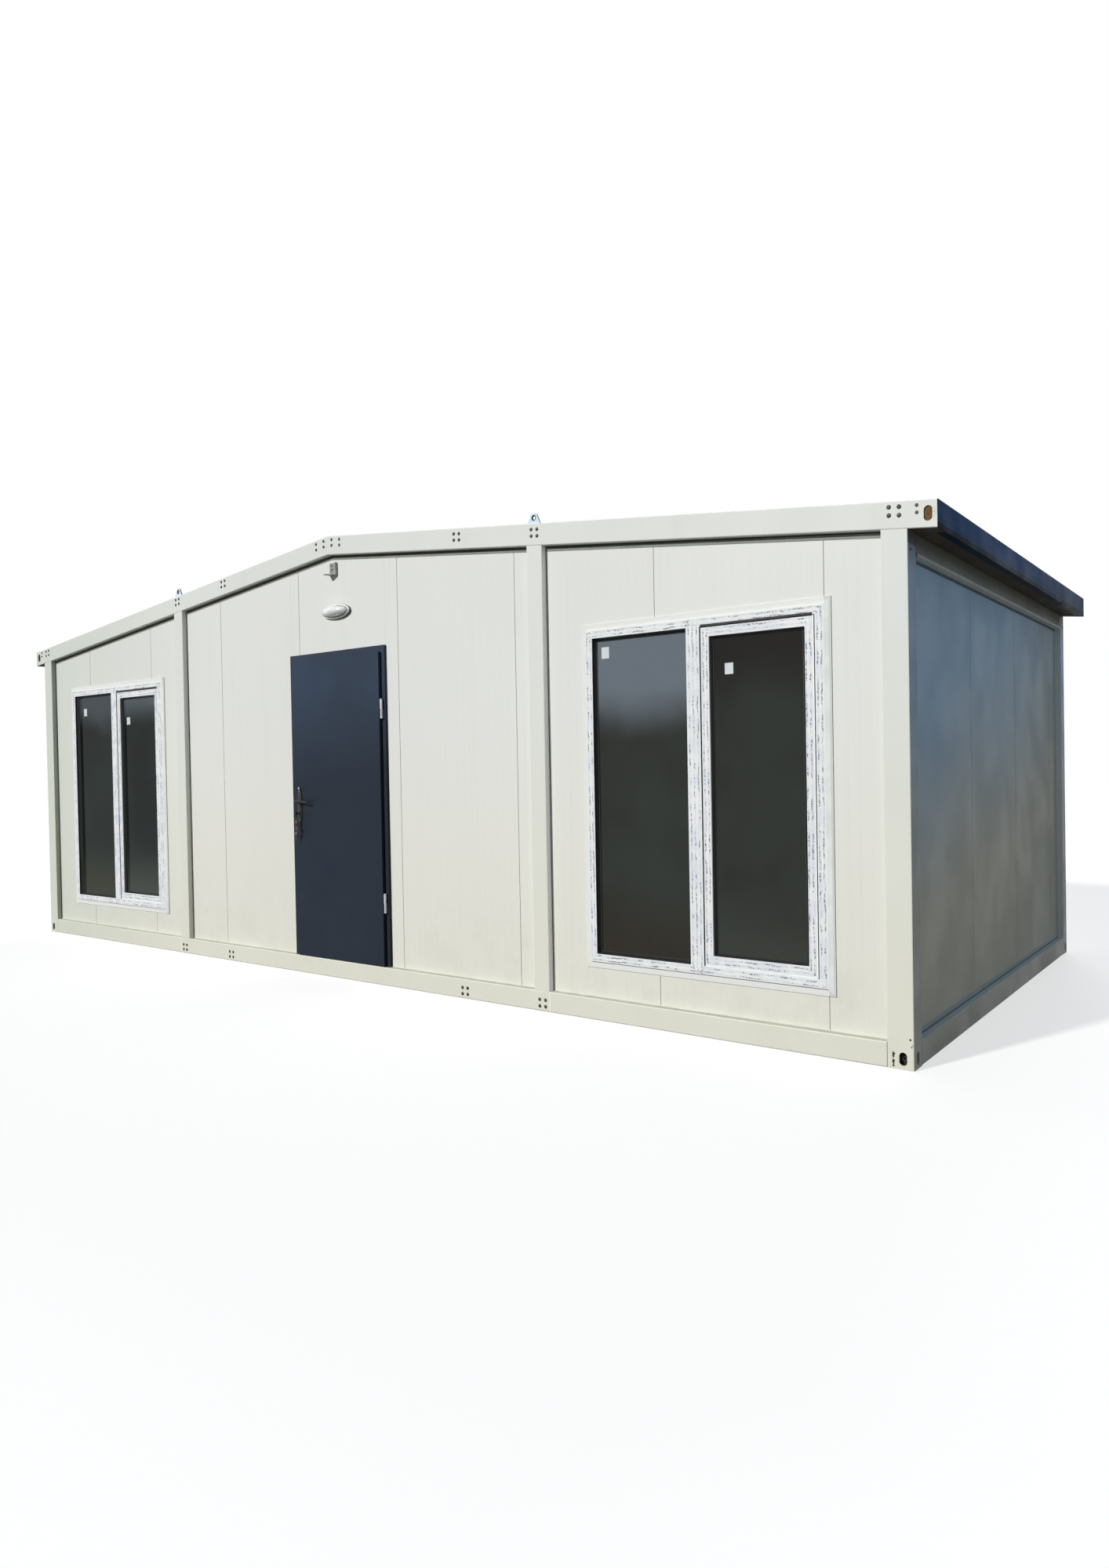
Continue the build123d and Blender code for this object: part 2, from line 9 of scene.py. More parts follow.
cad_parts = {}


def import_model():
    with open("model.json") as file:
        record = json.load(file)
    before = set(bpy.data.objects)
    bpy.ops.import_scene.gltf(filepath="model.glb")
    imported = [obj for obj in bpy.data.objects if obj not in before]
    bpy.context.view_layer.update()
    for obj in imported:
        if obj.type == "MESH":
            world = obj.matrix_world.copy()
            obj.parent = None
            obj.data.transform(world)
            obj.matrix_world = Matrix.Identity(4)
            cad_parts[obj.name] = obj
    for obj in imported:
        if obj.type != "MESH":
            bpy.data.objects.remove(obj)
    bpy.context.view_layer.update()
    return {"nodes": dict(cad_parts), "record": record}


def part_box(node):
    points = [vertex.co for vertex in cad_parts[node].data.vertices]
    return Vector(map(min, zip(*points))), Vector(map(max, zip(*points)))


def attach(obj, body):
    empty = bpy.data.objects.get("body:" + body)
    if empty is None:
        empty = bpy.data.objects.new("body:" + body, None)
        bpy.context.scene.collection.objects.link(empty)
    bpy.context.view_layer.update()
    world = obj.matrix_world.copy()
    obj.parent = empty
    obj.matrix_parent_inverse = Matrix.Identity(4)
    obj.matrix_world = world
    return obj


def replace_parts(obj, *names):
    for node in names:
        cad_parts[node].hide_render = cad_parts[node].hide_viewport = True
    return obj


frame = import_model()

# Driving sizes shared with the solids, in metres
HALF_WIDTH = 3.9
HALF_DEPTH = 1.66
EAVE_HEIGHT = 2.396
SLOPE = tan(radians(6.25))
BEAM_HEIGHT = 0.124
BASE_HEIGHT = 0.115
WALL_RECESS = 0.040
CORNER_POST = 0.124
CENTRE_POST = 0.112
POST_DEPTH = 0.110
HALF_CENTRE = 1.832
OVERHANG_END = 4.034
DOOR_LEFT, DOOR_RIGHT, DOOR_TOP = -0.445, 0.507, 2.184
EAVE_BEAM_LIFT, EAVE_BEAM_HEIGHT = 0.006, 0.106
FLANGE, FRAME_BAR, MULLION, LIGHT_WIDTH, SASH_WIDTH = 0.035, 0.043, 0.078, 0.593, 0.605
LUG_X, LUG_WIDTH, LUG_BACK, LUG_THICK = 1.774, 0.090, 0.007, 0.009
LUG_HOLE_RISE, LUG_HOLE_RADIUS = 0.032, 0.0125
JOINTS_FRONT = (-3.18, -2.23, -1.275, -0.36, 0.62, 1.595, 2.55, 3.49)
JOINTS_END = (-1.52, -0.57, 0.38, 1.33)

# Places worked out from them
WALL_FACE = HALF_DEPTH - WALL_RECESS
END_FACE = HALF_WIDTH - WALL_RECESS
WING_OUT = HALF_WIDTH - CORNER_POST
BAY = HALF_CENTRE - CENTRE_POST
POST_BACK = HALF_DEPTH - POST_DEPTH
EAVE_BEAM_BOTTOM = EAVE_HEIGHT + EAVE_BEAM_LIFT - EAVE_BEAM_HEIGHT
LUG_FACE = HALF_DEPTH - LUG_BACK
FRAME_FRONT = -WALL_FACE - 0.018
PANE_Y = FRAME_FRONT + 0.030
SIDES = {"right": 1, "left": -1}
BETWEEN_POSTS = (-POST_BACK + 0.001, POST_BACK - 0.001)
CORNERS = [(sign, out) for sign in (-1, 1) for out in (-1, 1)]

# Bolts of the beams: places along them and drops below their tops, in groups, by corners, ridge and tails
BEAM_GROUPS = (1.18, 1.78)
GROUP_X, GROUP_Z = 0.021, 0.0185
GROUP_DROP, GROUP_BASE = 0.052, 0.046
CORNER_BOLTS, CORNER_DROPS = (3.8165, 3.8625), (0.026, 0.063)
RIDGE_BOLTS, RIDGE_DROPS = (0.040, 0.118), (0.025, 0.063)
TAIL_BOLT, TAIL_DROPS = 3.941, (0.023, 0.055)

# Pressed wall sheets: thickness, back, joints, ribs, gap under the gable beams, and how near is the same
SKIN, SKIN_BACK = 0.003, -0.0002
JOINT_WIDTH, JOINT_FLOOR = 0.0032, 0.0004
RIB_DEPTH, RIB_PITCH = 0.00025, 0.05
SKIN_GAP = 0.030
NEAR = 1e-6


def underside(x):
    return EAVE_HEIGHT + (HALF_WIDTH - abs(x)) * SLOPE


def topside(x):
    return underside(x) + BEAM_HEIGHT


def circle(count):
    return [2 * pi * i / count for i in range(count)]


# Colour from 0 to 255 levels, as the shaders want it
def rgb(r, g, b):
    values = []
    for v in (r, g, b):
        v /= 255.0
        values.append(v / 12.92 if v <= 0.04045 else ((v + 0.055) / 1.055) ** 2.4)
    return (*values, 1.0)


# The same colour, darker or lighter
def shaded(colour, share):
    return tuple(c * share for c in colour[:3]) + (1.0,)


MATS = {}


# Node material under construction, kept under its name
class Paint:
    def __init__(self, name, roughness=0.5, metallic=0.0, gloss=0.5):
        mat = bpy.data.materials.new(name)
        mat.use_nodes = True
        MATS[name] = mat
        self.nodes = mat.node_tree.nodes
        self.links = mat.node_tree.links
        self.bsdf = self.nodes["Principled BSDF"]
        self.fill(self.bsdf, {"Roughness": roughness, "Metallic": metallic, "Specular IOR Level": gloss})
        self.where = self.nodes.new("ShaderNodeTexCoord").outputs["Object"]

    def put(self, socket, value):
        if isinstance(value, bpy.types.NodeSocket):
            self.links.new(value, socket)
        else:
            socket.default_value = value

    def fill(self, node, values):
        for key, value in values.items():
            self.put(node.inputs[key], value)
        return node

    def new(self, kind, values):
        return self.fill(self.nodes.new("ShaderNode" + kind), values)

    def noise(self, scale, detail=3.0, rough=0.5, stretch=None):
        where = self.where
        if stretch:
            where = self.new("Mapping", {"Vector": where, "Scale": stretch}).outputs["Vector"]
        values = {"Vector": where, "Scale": scale, "Detail": detail, "Roughness": rough}
        return self.new("TexNoise", values).outputs["Fac"]

    def voronoi(self, scale):
        return self.new("TexVoronoi", {"Vector": self.where, "Scale": scale}).outputs["Distance"]

    def axis(self, name):
        return self.new("SeparateXYZ", {0: self.where}).outputs[name]

    def remap(self, value, low, high, to_low=0.0, to_high=1.0, shape="SMOOTHSTEP"):
        node = self.nodes.new("ShaderNodeMapRange")
        node.interpolation_type = shape
        ends = {"Value": value, "From Min": low, "From Max": high, "To Min": to_low, "To Max": to_high}
        return self.fill(node, ends).outputs["Result"]

    # Remapped noise, the noise given by its scale, detail, roughness and stretch
    def cloud(self, noise, *ends):
        return self.remap(self.noise(*noise), *ends)

    # Remapped place along an axis
    def along(self, axis, *ends):
        return self.remap(self.axis(axis), *ends)

    def math(self, kind, a, b=0.0):
        node = self.nodes.new("ShaderNodeMath")
        node.operation = kind
        return self.fill(node, {0: a, 1: b}).outputs[0]

    def times(self, a, b):
        return self.math("MULTIPLY", a, b)

    def plus(self, a, b):
        return self.math("ADD", a, b)

    def minus(self, a, b):
        return self.math("SUBTRACT", a, b)

    def least(self, a, b):
        return self.math("MINIMUM", a, b)

    def most(self, a, b):
        return self.math("MAXIMUM", a, b)

    def size(self, value):
        return self.math("ABSOLUTE", value)

    def length(self, a, b):
        return self.math("SQRT", self.plus(self.times(a, a), self.times(b, b)))

    def mix(self, fac, a, b):
        node = self.nodes.new("ShaderNodeMix")
        node.data_type = "RGBA"
        return self.fill(node, {"Factor": fac, 6: a, 7: b}).outputs[2]

    def colour(self, value):
        self.put(self.bsdf.inputs["Base Color"], value)

    # One more layer of colour over what is there
    def over(self, fac, value):
        under = self.bsdf.inputs["Base Color"].links[0].from_socket
        self.colour(self.mix(fac, under, value))

    # Roughness that wanders with a noise
    def rough(self, noise, *ends):
        self.put(self.bsdf.inputs["Roughness"], self.cloud(noise, *ends))

    def bump(self, height, distance, strength, under=None):
        values = {"Strength": strength, "Distance": distance, "Height": height}
        if under is not None:
            values["Normal"] = under
        normal = self.new("Bump", values).outputs["Normal"]
        self.put(self.bsdf.inputs["Normal"], normal)
        return normal


# Sprayed steel: mottled tone, dust low down, small specks and an orange-peel skin
def steel_paint(name, base, dust, roughness=0.5, dust_height=0.4, dust_share=0.18, speck=0.3, gloss=0.25):
    p = Paint(name, roughness, gloss=gloss)
    colour = p.mix(p.cloud((0.9, 4.0), 0.35, 0.65), shaded(base, 0.97), base)
    colour = p.mix(p.cloud((1.0, 4.0, 0.6, (9.0, 9.0, 0.35)), 0.5, 0.8, 0.0, 0.10), colour, dust)
    low = p.along("Z", 0.0, dust_height, dust_share, 0.0)
    colour = p.mix(p.times(low, p.cloud((3.0, 6.0, 0.65), 0.42, 0.75)), colour, dust)
    dots = p.times(p.remap(p.voronoi(55.0), 0.0, 0.075, speck, 0.0), p.cloud((3.0,), 0.54, 0.64))
    p.colour(p.mix(dots, colour, rgb(96, 88, 74)))
    p.over(p.along("Z", 0.0, 2.1, 0.5, 0.0), rgb(224, 220, 199))
    p.rough((4.0, 5.0), 0.3, 0.7, roughness - 0.06, roughness + 0.1)
    wave = p.bump(p.noise(2.2, 2.0), 0.010, 0.22)
    p.bump(p.noise(420.0, 2.0), 0.0004, 0.35, wave)
    return p


# End faces of the white steel in painted shade: grey low down, painted sky reflection blue higher up, darker
# under the overhang
def shade_ends(p):
    side = p.mix(p.along("Z", 0.6, 2.1), rgb(188, 190, 178), rgb(162, 192, 226))
    side = p.mix(p.along("Z", 2.20, 2.335, 0.0, 0.5), side, rgb(116, 124, 122))
    side = p.mix(p.along("Z", 2.330, 2.342, 0.0, 0.9), side, rgb(60, 60, 52))
    across = p.size(p.axis("X"))
    p.over(p.remap(across, HALF_WIDTH - 0.0025, HALF_WIDTH - 0.0010), side)
    # Painted light on the outer side faces of the centre posts, painted shade on the inner side faces of the
    # corner posts
    for x, near, far, tone in ((HALF_CENTRE, 0.0010, 0.0025, rgb(252, 253, 248)),
                               (WING_OUT, 0.0008, 0.0020, rgb(180, 184, 172))):
        below = p.remap(across, x - 0.0025, x - 0.0010)
        p.over(p.times(below, p.remap(across, x + near, x + far, 1.0, 0.0)), tone)
    # Painted highlight on the back posts' front faces where they stand out beyond the end walls
    rear = p.remap(p.size(p.minus(p.axis("Y"), POST_BACK)), 0.0010, 0.0020, 1.0, 0.0)
    p.over(p.times(rear, p.remap(across, END_FACE, END_FACE + 0.002)), rgb(246, 250, 254))


# Painted shade: the far wing a little darker and greener
def far_wing_shade(p):
    p.over(p.along("X", -HALF_WIDTH, -1.4, 0.42, 0.0), rgb(190, 200, 186))
    return p


# Distance from the nearest bolt of the sloping beams and base beams
def bolt_distance(p):
    across, z = p.size(p.axis("X")), p.axis("Z")
    level = p.plus(z, p.times(across, SLOPE))
    crest = EAVE_HEIGHT + HALF_WIDTH * SLOPE + BEAM_HEIGHT

    # Signed distance from the nearer of two places
    def fold(value, pair):
        return p.minus(p.size(p.minus(value, (pair[0] + pair[1]) / 2)), abs(pair[1] - pair[0]) / 2)

    groups = fold(fold(across, BEAM_GROUPS), (-GROUP_X, GROUP_X))
    places = [(groups, fold(height, (middle - GROUP_Z, middle + GROUP_Z)))
              for height, middle in ((level, crest - GROUP_DROP), (z, GROUP_BASE))]
    for columns, drops in ((CORNER_BOLTS, CORNER_DROPS), (RIDGE_BOLTS, RIDGE_DROPS)):
        places.append((fold(across, columns), fold(level, [crest - drop for drop in drops])))
    nearest = p.length(*places[0])
    for place in places[1:]:
        nearest = p.least(nearest, p.length(*place))
    return nearest


# Flush bolts of the back beams, which stand on the frame's outermost plane
def flush_bolts(p):
    nearest = bolt_distance(p)
    outside = p.along("Y", HALF_DEPTH - 0.004, HALF_DEPTH - 0.002)
    for near, far, tone in ((0.0088, 0.0102, rgb(92, 88, 80)), (0.0066, 0.0076, rgb(52, 48, 42))):
        p.over(p.times(p.remap(nearest, near, far, 1.0, 0.0), outside), tone)
    skin = p.bsdf.inputs["Normal"].links[0].from_socket
    p.bump(p.times(p.remap(nearest, 0.0060, 0.0104, 1.0, 0.0), outside), 0.004, 0.8, skin)


# Coated panel sheet: soft mottling, faint upright streaks, and on the end walls painted sky reflection high
# up and painted shade towards the back
def panel_paint(name, base, dust, roughness=0.52, high=None):
    p = Paint(name, roughness, gloss=0.25)
    colour = p.mix(p.cloud((0.55, 3.0), 0.35, 0.65), shaded(base, 0.975), base)
    if high:
        # Painted sky reflection: bluer high up, its edge wandering and lower towards the back
        rise = p.plus(p.axis("Z"), p.cloud((0.5, 1.0), 0.3, 0.7, -0.15, 0.15))
        rise = p.minus(rise, p.times(p.plus(p.axis("Y"), HALF_DEPTH), 0.2))
        colour = p.mix(p.remap(rise, 0.5, 1.9), colour, high)
        # Painted shade towards the back of the end walls
        colour = p.mix(p.along("Y", -0.2, 1.5, 0.0, 0.55), colour, rgb(150, 160, 154))
    else:
        colour = p.mix(p.along("Z", 0.0, 2.1, 0.45, 0.0), colour, rgb(224, 220, 200))
    colour = p.mix(p.cloud((1.0, 5.0, 0.62, (22.0, 22.0, 0.5)), 0.52, 0.82, 0.0, 0.12), colour, dust)
    low = p.along("Z", 0.1, 0.75, 0.22, 0.0)
    p.colour(p.mix(p.times(low, p.cloud((5.0, 6.0, 0.6), 0.4, 0.72)), colour, dust))
    p.rough((3.0, 4.0), 0.3, 0.7, roughness - 0.05, roughness + 0.08)
    wave = p.bump(p.noise(3.5, 2.0), 0.005, 0.2)
    p.bump(p.noise(260.0, 3.0, 0.6, (1.0, 1.0, 0.3)), 0.0005, 0.4, wave)
    return p


# Distance of a window bar's surface from the nearest edge of the given bounds
def inward_distance(p, x, z, bounds):
    x0, x1, z0, z1 = bounds
    nearest = p.minus(x, x0)
    for edge in (p.minus(x1, x), p.minus(z, z0), p.minus(z1, z)):
        nearest = p.least(nearest, edge)
    return nearest


# Ink of the film: small plain marks in rows along the bars, and loose specks between them
def film_ink(p, places):
    band = None
    for value, row in places:
        wander = p.plus(p.minus(value, row), p.cloud((14.0,), 0.3, 0.7, -0.003, 0.003))
        near = p.remap(p.size(wander), 0.0026, 0.0048, 1.0, 0.0)
        band = near if band is None else p.most(band, near)
    marks = p.cloud((190.0, 3.0, 0.75), 0.47, 0.52)
    words = p.cloud((17.0, 3.0, 0.6), 0.47, 0.54, 0.2, 1.0)
    specks = p.times(p.cloud((120.0, 3.0, 0.7), 0.60, 0.65), p.cloud((12.0,), 0.48, 0.58))
    return p.most(p.times(p.times(marks, words), band), p.times(specks, 0.35))


# Bars under their protective film, clean on the flange, the right flange darker as painted shade, and painted
# shade on the surfaces sunk behind the bars and in a line above the sash
def film_plastic(name, bounds, rows, clean, front, mullion=(), sash=None):
    p = Paint(name, 0.34, gloss=0.35)
    x, z = p.axis("X"), p.axis("Z")
    inward = inward_distance(p, x, z, bounds)
    colour = p.mix(p.cloud((11.0, 3.0), 0.4, 0.62), rgb(235, 237, 237), rgb(225, 228, 232))
    ink = film_ink(p, [(inward, row) for row in rows] + [(x, row) for row in mullion])
    film = p.remap(inward, clean, clean + 0.002, 0.0, 1.0, "LINEAR")
    colour = p.mix(p.times(p.times(ink, film), 0.92), colour, rgb(66, 74, 96))
    edge_line = p.remap(p.size(p.minus(inward, clean + 0.006)), 0.0006, 0.0014, 0.35, 0.0)
    colour = p.mix(edge_line, colour, rgb(176, 184, 194))
    right = bounds[1] - clean
    # Painted shade: the right flange a little darker
    flange = p.mix(p.remap(x, right, right + 0.002), rgb(226, 228, 224), rgb(203, 205, 200))
    colour = p.mix(film, flange, colour)
    # Painted shade on surfaces sunk behind the bar fronts, and a painted shadow line above the sash
    sunk = p.times(p.along("Y", front + 0.0035, front + 0.0050), film)
    if sash:
        left, right, _, top = sash
        gap = p.remap(p.size(p.minus(z, top + 0.0065)), 0.0045, 0.0055, 1.0, 0.0)
        span = p.times(p.remap(x, left - 0.002, left), p.remap(x, right, right + 0.002, 1.0, 0.0))
        sunk = p.most(sunk, p.times(gap, span))
    p.colour(p.mix(sunk, colour, rgb(34, 36, 36)))
    p.rough((30.0, 3.0), 0.35, 0.65, 0.28, 0.42)
    p.bump(p.times(p.noise(48.0, 4.0, 0.6), film), 0.0010, 0.3)


def plain_plastic(name, base, roughness, grain):
    p = Paint(name, roughness, gloss=0.35)
    p.colour(p.mix(p.cloud((9.0, 4.0), 0.35, 0.65), shaded(base, 0.9), base))
    p.rough((20.0, 3.0), 0.3, 0.7, roughness - 0.06, roughness + 0.08)
    p.bump(p.noise(grain, 2.0), 0.0003, 0.3)
    return p


def metal(name, base, tarnish, roughness, metallic):
    p = Paint(name, roughness, metallic, 0.3)
    p.colour(p.mix(p.cloud((38.0, 5.0, 0.65), 0.42, 0.68), base, tarnish))
    p.rough((25.0, 4.0), 0.3, 0.7, roughness - 0.08, roughness + 0.15)
    p.bump(p.noise(90.0, 3.0), 0.0006, 0.3)
    return p


# Raw rust, faintly striped
def raw_rust():
    p = Paint("raw_rust", 0.82)
    colour = p.mix(p.cloud((70.0, 6.0, 0.7), 0.38, 0.62), rgb(82, 55, 25), rgb(122, 84, 38))
    stripe = p.cloud((1.0, 3.0, 0.6, (260.0, 20.0, 18.0)), 0.45, 0.62, 0.0, 0.7)
    colour = p.mix(stripe, colour, rgb(70, 46, 22))
    p.colour(p.mix(p.remap(p.voronoi(160.0), 0.1, 0.5, 0.6, 0.0), colour, rgb(60, 38, 22)))
    p.bump(p.noise(160.0, 5.0, 0.7), 0.002, 0.7)


# Lifting lugs: pale blue, with painted shade on their edges and round the hole
def lug_paint():
    p = steel_paint("lug_blue", rgb(216, 235, 246), rgb(120, 116, 106), 0.4, 0.1, 0.1, 0.9, 0.1)
    half = LUG_THICK / 2
    depth = p.size(p.minus(p.size(p.axis("Y")), LUG_FACE - half))
    p.over(p.remap(depth, half - 0.0012, half - 0.0004, 0.85, 0.0), rgb(128, 138, 146))
    dx = p.minus(p.size(p.axis("X")), LUG_X)
    dz = p.minus(p.axis("Z"), topside(LUG_X) + LUG_HOLE_RISE)
    ring = (LUG_HOLE_RADIUS + 0.0030, LUG_HOLE_RADIUS + 0.0055)
    p.over(p.remap(p.length(dx, dz), *ring, 0.95, 0.0), rgb(58, 82, 96))


# Zinc bracket: its side flap stands in the wall's bounce and looks paler than plain shade
def bracket_metal():
    p = metal("bracket_zinc", rgb(142, 148, 142), rgb(118, 124, 118), 0.55, 0.1)
    p.over(p.along("Y", -WALL_FACE - 0.0060, -WALL_FACE - 0.0045, 0.9, 0.0), rgb(178, 184, 178))


# Folded steel under clear blue film, with long soft creases
def film_blue(name, low, high, gloss):
    p = Paint(name, 0.55, gloss=gloss)
    colour = p.mix(p.cloud((1.0, 4.0, 0.55, (1.0, 0.6, 3.0)), 0.32, 0.7), low, high)
    crease = p.cloud((2.0, 6.0, 0.6, (3.0, 0.5, 12.0)), 0.58, 0.74, 0.0, 0.1)
    colour = p.mix(crease, colour, shaded(high, 1.35))
    rubbed = p.times(p.cloud((26.0, 5.0, 0.7), 0.6, 0.72), 0.10)
    p.colour(p.mix(rubbed, colour, shaded(low, 0.4)))
    p.rough((6.0, 4.0), 0.3, 0.7, 0.48, 0.62)
    p.bump(p.noise(5.0, 5.0, 0.6, (2.0, 0.8, 4.0)), 0.004, 0.3)
    return p


# Blue film left along the foot of the end walls, its upright part darker than its ledge as painted shade,
# fading upwards into the wall's colour
def foot_film():
    p = film_blue("ledge_film", rgb(196, 212, 218), rgb(216, 230, 236), 0.1)
    p.over(p.along("Z", BASE_HEIGHT + 0.006, BASE_HEIGHT + 0.014, 0.0, 0.6), rgb(160, 184, 192))
    p.over(p.along("Z", BASE_HEIGHT + 0.012, BASE_HEIGHT + 0.034), rgb(196, 198, 188))


# Eave fascia: greyer towards the back, its lower part darkened as painted shade, nearly black along its lower
# fold and at its two ends as painted shade
def fascia_film():
    p = film_blue("fascia_film", rgb(46, 82, 134), rgb(64, 102, 152), 0.035)
    p.put(p.bsdf.inputs["Specular IOR Level"], p.along("Y", -1.6, -0.5, 0.017, 0.035))
    p.over(p.along("Y", -0.6, 1.6, 0.0, 0.55), rgb(98, 112, 124))
    p.over(p.along("Z", EAVE_HEIGHT + 0.014, EAVE_HEIGHT + 0.060, 0.35, 0.0), rgb(40, 58, 80))
    p.over(p.along("Z", EAVE_HEIGHT + 0.006, EAVE_HEIGHT + 0.014, 0.95, 0.0), rgb(12, 24, 34))
    ends = p.remap(p.size(p.axis("Y")), HALF_DEPTH - 0.0016, HALF_DEPTH - 0.0006, 0.0, 0.92)
    p.over(ends, rgb(20, 24, 34))


# Eave beam: the white steel painted grey as shade under the overhang, paler towards its lower edge where the
# painted shade eases
def eave_shade_paint():
    p = steel_paint("eave_painted_shade", rgb(112, 112, 100), rgb(96, 92, 80), 0.6, 0.1, 0.1, 0.6, 0.12)
    p.over(p.along("Z", EAVE_BEAM_BOTTOM + 0.012, EAVE_BEAM_BOTTOM + 0.070, 0.9, 0.0), rgb(158, 164, 158))


# Sheet under the eaves, dark as painted shade, darker in patches
def soffit_painted_shade():
    p = Paint("soffit_painted_shade", 0.75, gloss=0.1)
    colour = p.mix(p.cloud((3.0, 6.0, 0.65), 0.35, 0.68), rgb(58, 54, 48), rgb(82, 76, 66))
    p.colour(p.mix(p.cloud((40.0, 4.0), 0.6, 0.7, 0.0, 0.5), colour, rgb(40, 36, 32)))
    p.bump(p.noise(90.0, 4.0), 0.0008, 0.4)


# Tinted panes in the tones that their reflections give them: fixed light first, then sash
def glass_pane(name, split, gloss, depths, sky, fade, dusk, feet):
    p = Paint(name, 0.03, gloss=gloss)
    x, z = p.axis("X"), p.axis("Z")
    edge = (split - 0.01, split + 0.01)
    sash = p.remap(x, *edge)
    deep = p.mix(p.cloud((1.3, 3.0), 0.35, 0.7), *depths)
    deep = p.mix(p.remap(z, 0.35, 0.85, 0.8, 0.0), deep, p.mix(sash, *feet))
    rise = p.plus(z, p.cloud((1.1, 3.0), 0.3, 0.7, -0.08, 0.08))
    colour = p.mix(p.times(p.remap(rise, *fade), p.remap(x, *edge, *sky)), deep, rgb(112, 122, 132))
    late = p.times(p.remap(z, 1.65, 1.95), p.times(sash, dusk))
    p.colour(p.mix(late, colour, rgb(20, 14, 8)))
    p.fill(p.bsdf, {"Transmission Weight": 0.2, "IOR": 1.5})
    p.rough((6.0, 5.0, 0.6), 0.45, 0.75, 0.02, 0.08)
    p.bump(p.noise(0.9, 1.0), 0.003, 0.1)


# Lamp base: white rolled rim, its side painted dark as shade
def lamp_rim():
    p = plain_plastic("lamp_white", rgb(230, 232, 228), 0.25, 300.0)
    p.over(p.along("Y", -WALL_FACE - 0.0190, -WALL_FACE - 0.0150, 0.0, 0.95), rgb(74, 75, 70))


# Frosted lens that scatters light and shines a little
def lens_glass():
    p = Paint("lamp_lens", 0.22)
    p.colour(p.mix(p.cloud((24.0,), 0.4, 0.62), rgb(224, 227, 224), rgb(241, 243, 241)))
    p.fill(p.bsdf, {"Subsurface Weight": 0.7, "Subsurface Scale": 0.05,
                    "Subsurface Radius": (1.0, 1.0, 1.0), "IOR": 1.45})
    p.rough((60.0,), 0.4, 0.6, 0.16, 0.3)
    p.bump(p.voronoi(120.0), 0.0015, 0.4)


# Deck boards with thin dark seams and grain along them
def floor_boards():
    p = Paint("deck_board")
    brick = p.new("TexBrick", {
        "Vector": p.where, "Scale": 1.0, "Brick Width": 1.2, "Row Height": 0.18, "Mortar Size": 0.0012,
        "Mortar Smooth": 0.2, "Bias": 0.0, "Color1": rgb(158, 132, 100), "Color2": rgb(176, 150, 118),
        "Mortar": rgb(78, 62, 46)})
    grain = p.cloud((1.0, 8.0, 0.65, (3.0, 60.0, 60.0)), 0.35, 0.7, 0.0, 0.45)
    p.colour(p.mix(grain, brick.outputs["Color"], rgb(120, 94, 66)))
    p.bump(brick.outputs["Fac"], -0.0015, 0.6)


# Door steel: dark powder coat with a fine dry texture, faint level scuffs and a paler top
def door_paint(name, base, high):
    p = Paint(name, gloss=0.11)
    colour = p.mix(p.along("Z", 1.2, 2.15), base, high)
    colour = p.mix(p.cloud((1.6, 4.0), 0.35, 0.68, 0.0, 0.4), colour, rgb(34, 42, 52))
    scuff = p.cloud((1.0, 6.0, 0.7, (5.0, 5.0, 24.0)), 0.68, 0.8, 0.0, 0.12)
    p.colour(p.mix(scuff, colour, rgb(90, 96, 104)))
    p.rough((5.0, 5.0), 0.3, 0.7, 0.42, 0.56)
    wave = p.bump(p.noise(2.6, 2.0), 0.006, 0.25)
    p.bump(p.noise(380.0, 3.0), 0.0005, 0.45, wave)


WHITE_STEEL = (rgb(222, 225, 219), rgb(184, 176, 150))
shade_ends(far_wing_shade(steel_paint("frame_white", *WHITE_STEEL)))
far_wing_shade(steel_paint("beam_white", *WHITE_STEEL))
flush_bolts(steel_paint("back_white", *WHITE_STEEL))
far_wing_shade(panel_paint("panel_white", rgb(226, 227, 223), rgb(196, 193, 180)))
# End-wall sheets: a darker copy of the wall paint as painted shade, with painted sky reflection high up
panel_paint("panel_end", rgb(217, 214, 197), rgb(170, 172, 168), 0.58, rgb(180, 217, 248))
steel_paint("roof_white", rgb(204, 208, 206), rgb(150, 144, 128), 0.5, 0.1, 0.1, 0.5)
steel_paint("bearer_grey", rgb(104, 106, 104), rgb(112, 96, 74), 0.6, 0.2, 0.7)
door_paint("door_slate", rgb(28, 37, 50), rgb(49, 63, 82))
door_paint("door_frame_slate", rgb(36, 41, 46), rgb(52, 63, 78))
for material in (eave_shade_paint, soffit_painted_shade, floor_boards, fascia_film, foot_film, bracket_metal, lamp_rim,
                 lens_glass, lug_paint, raw_rust):
    material()

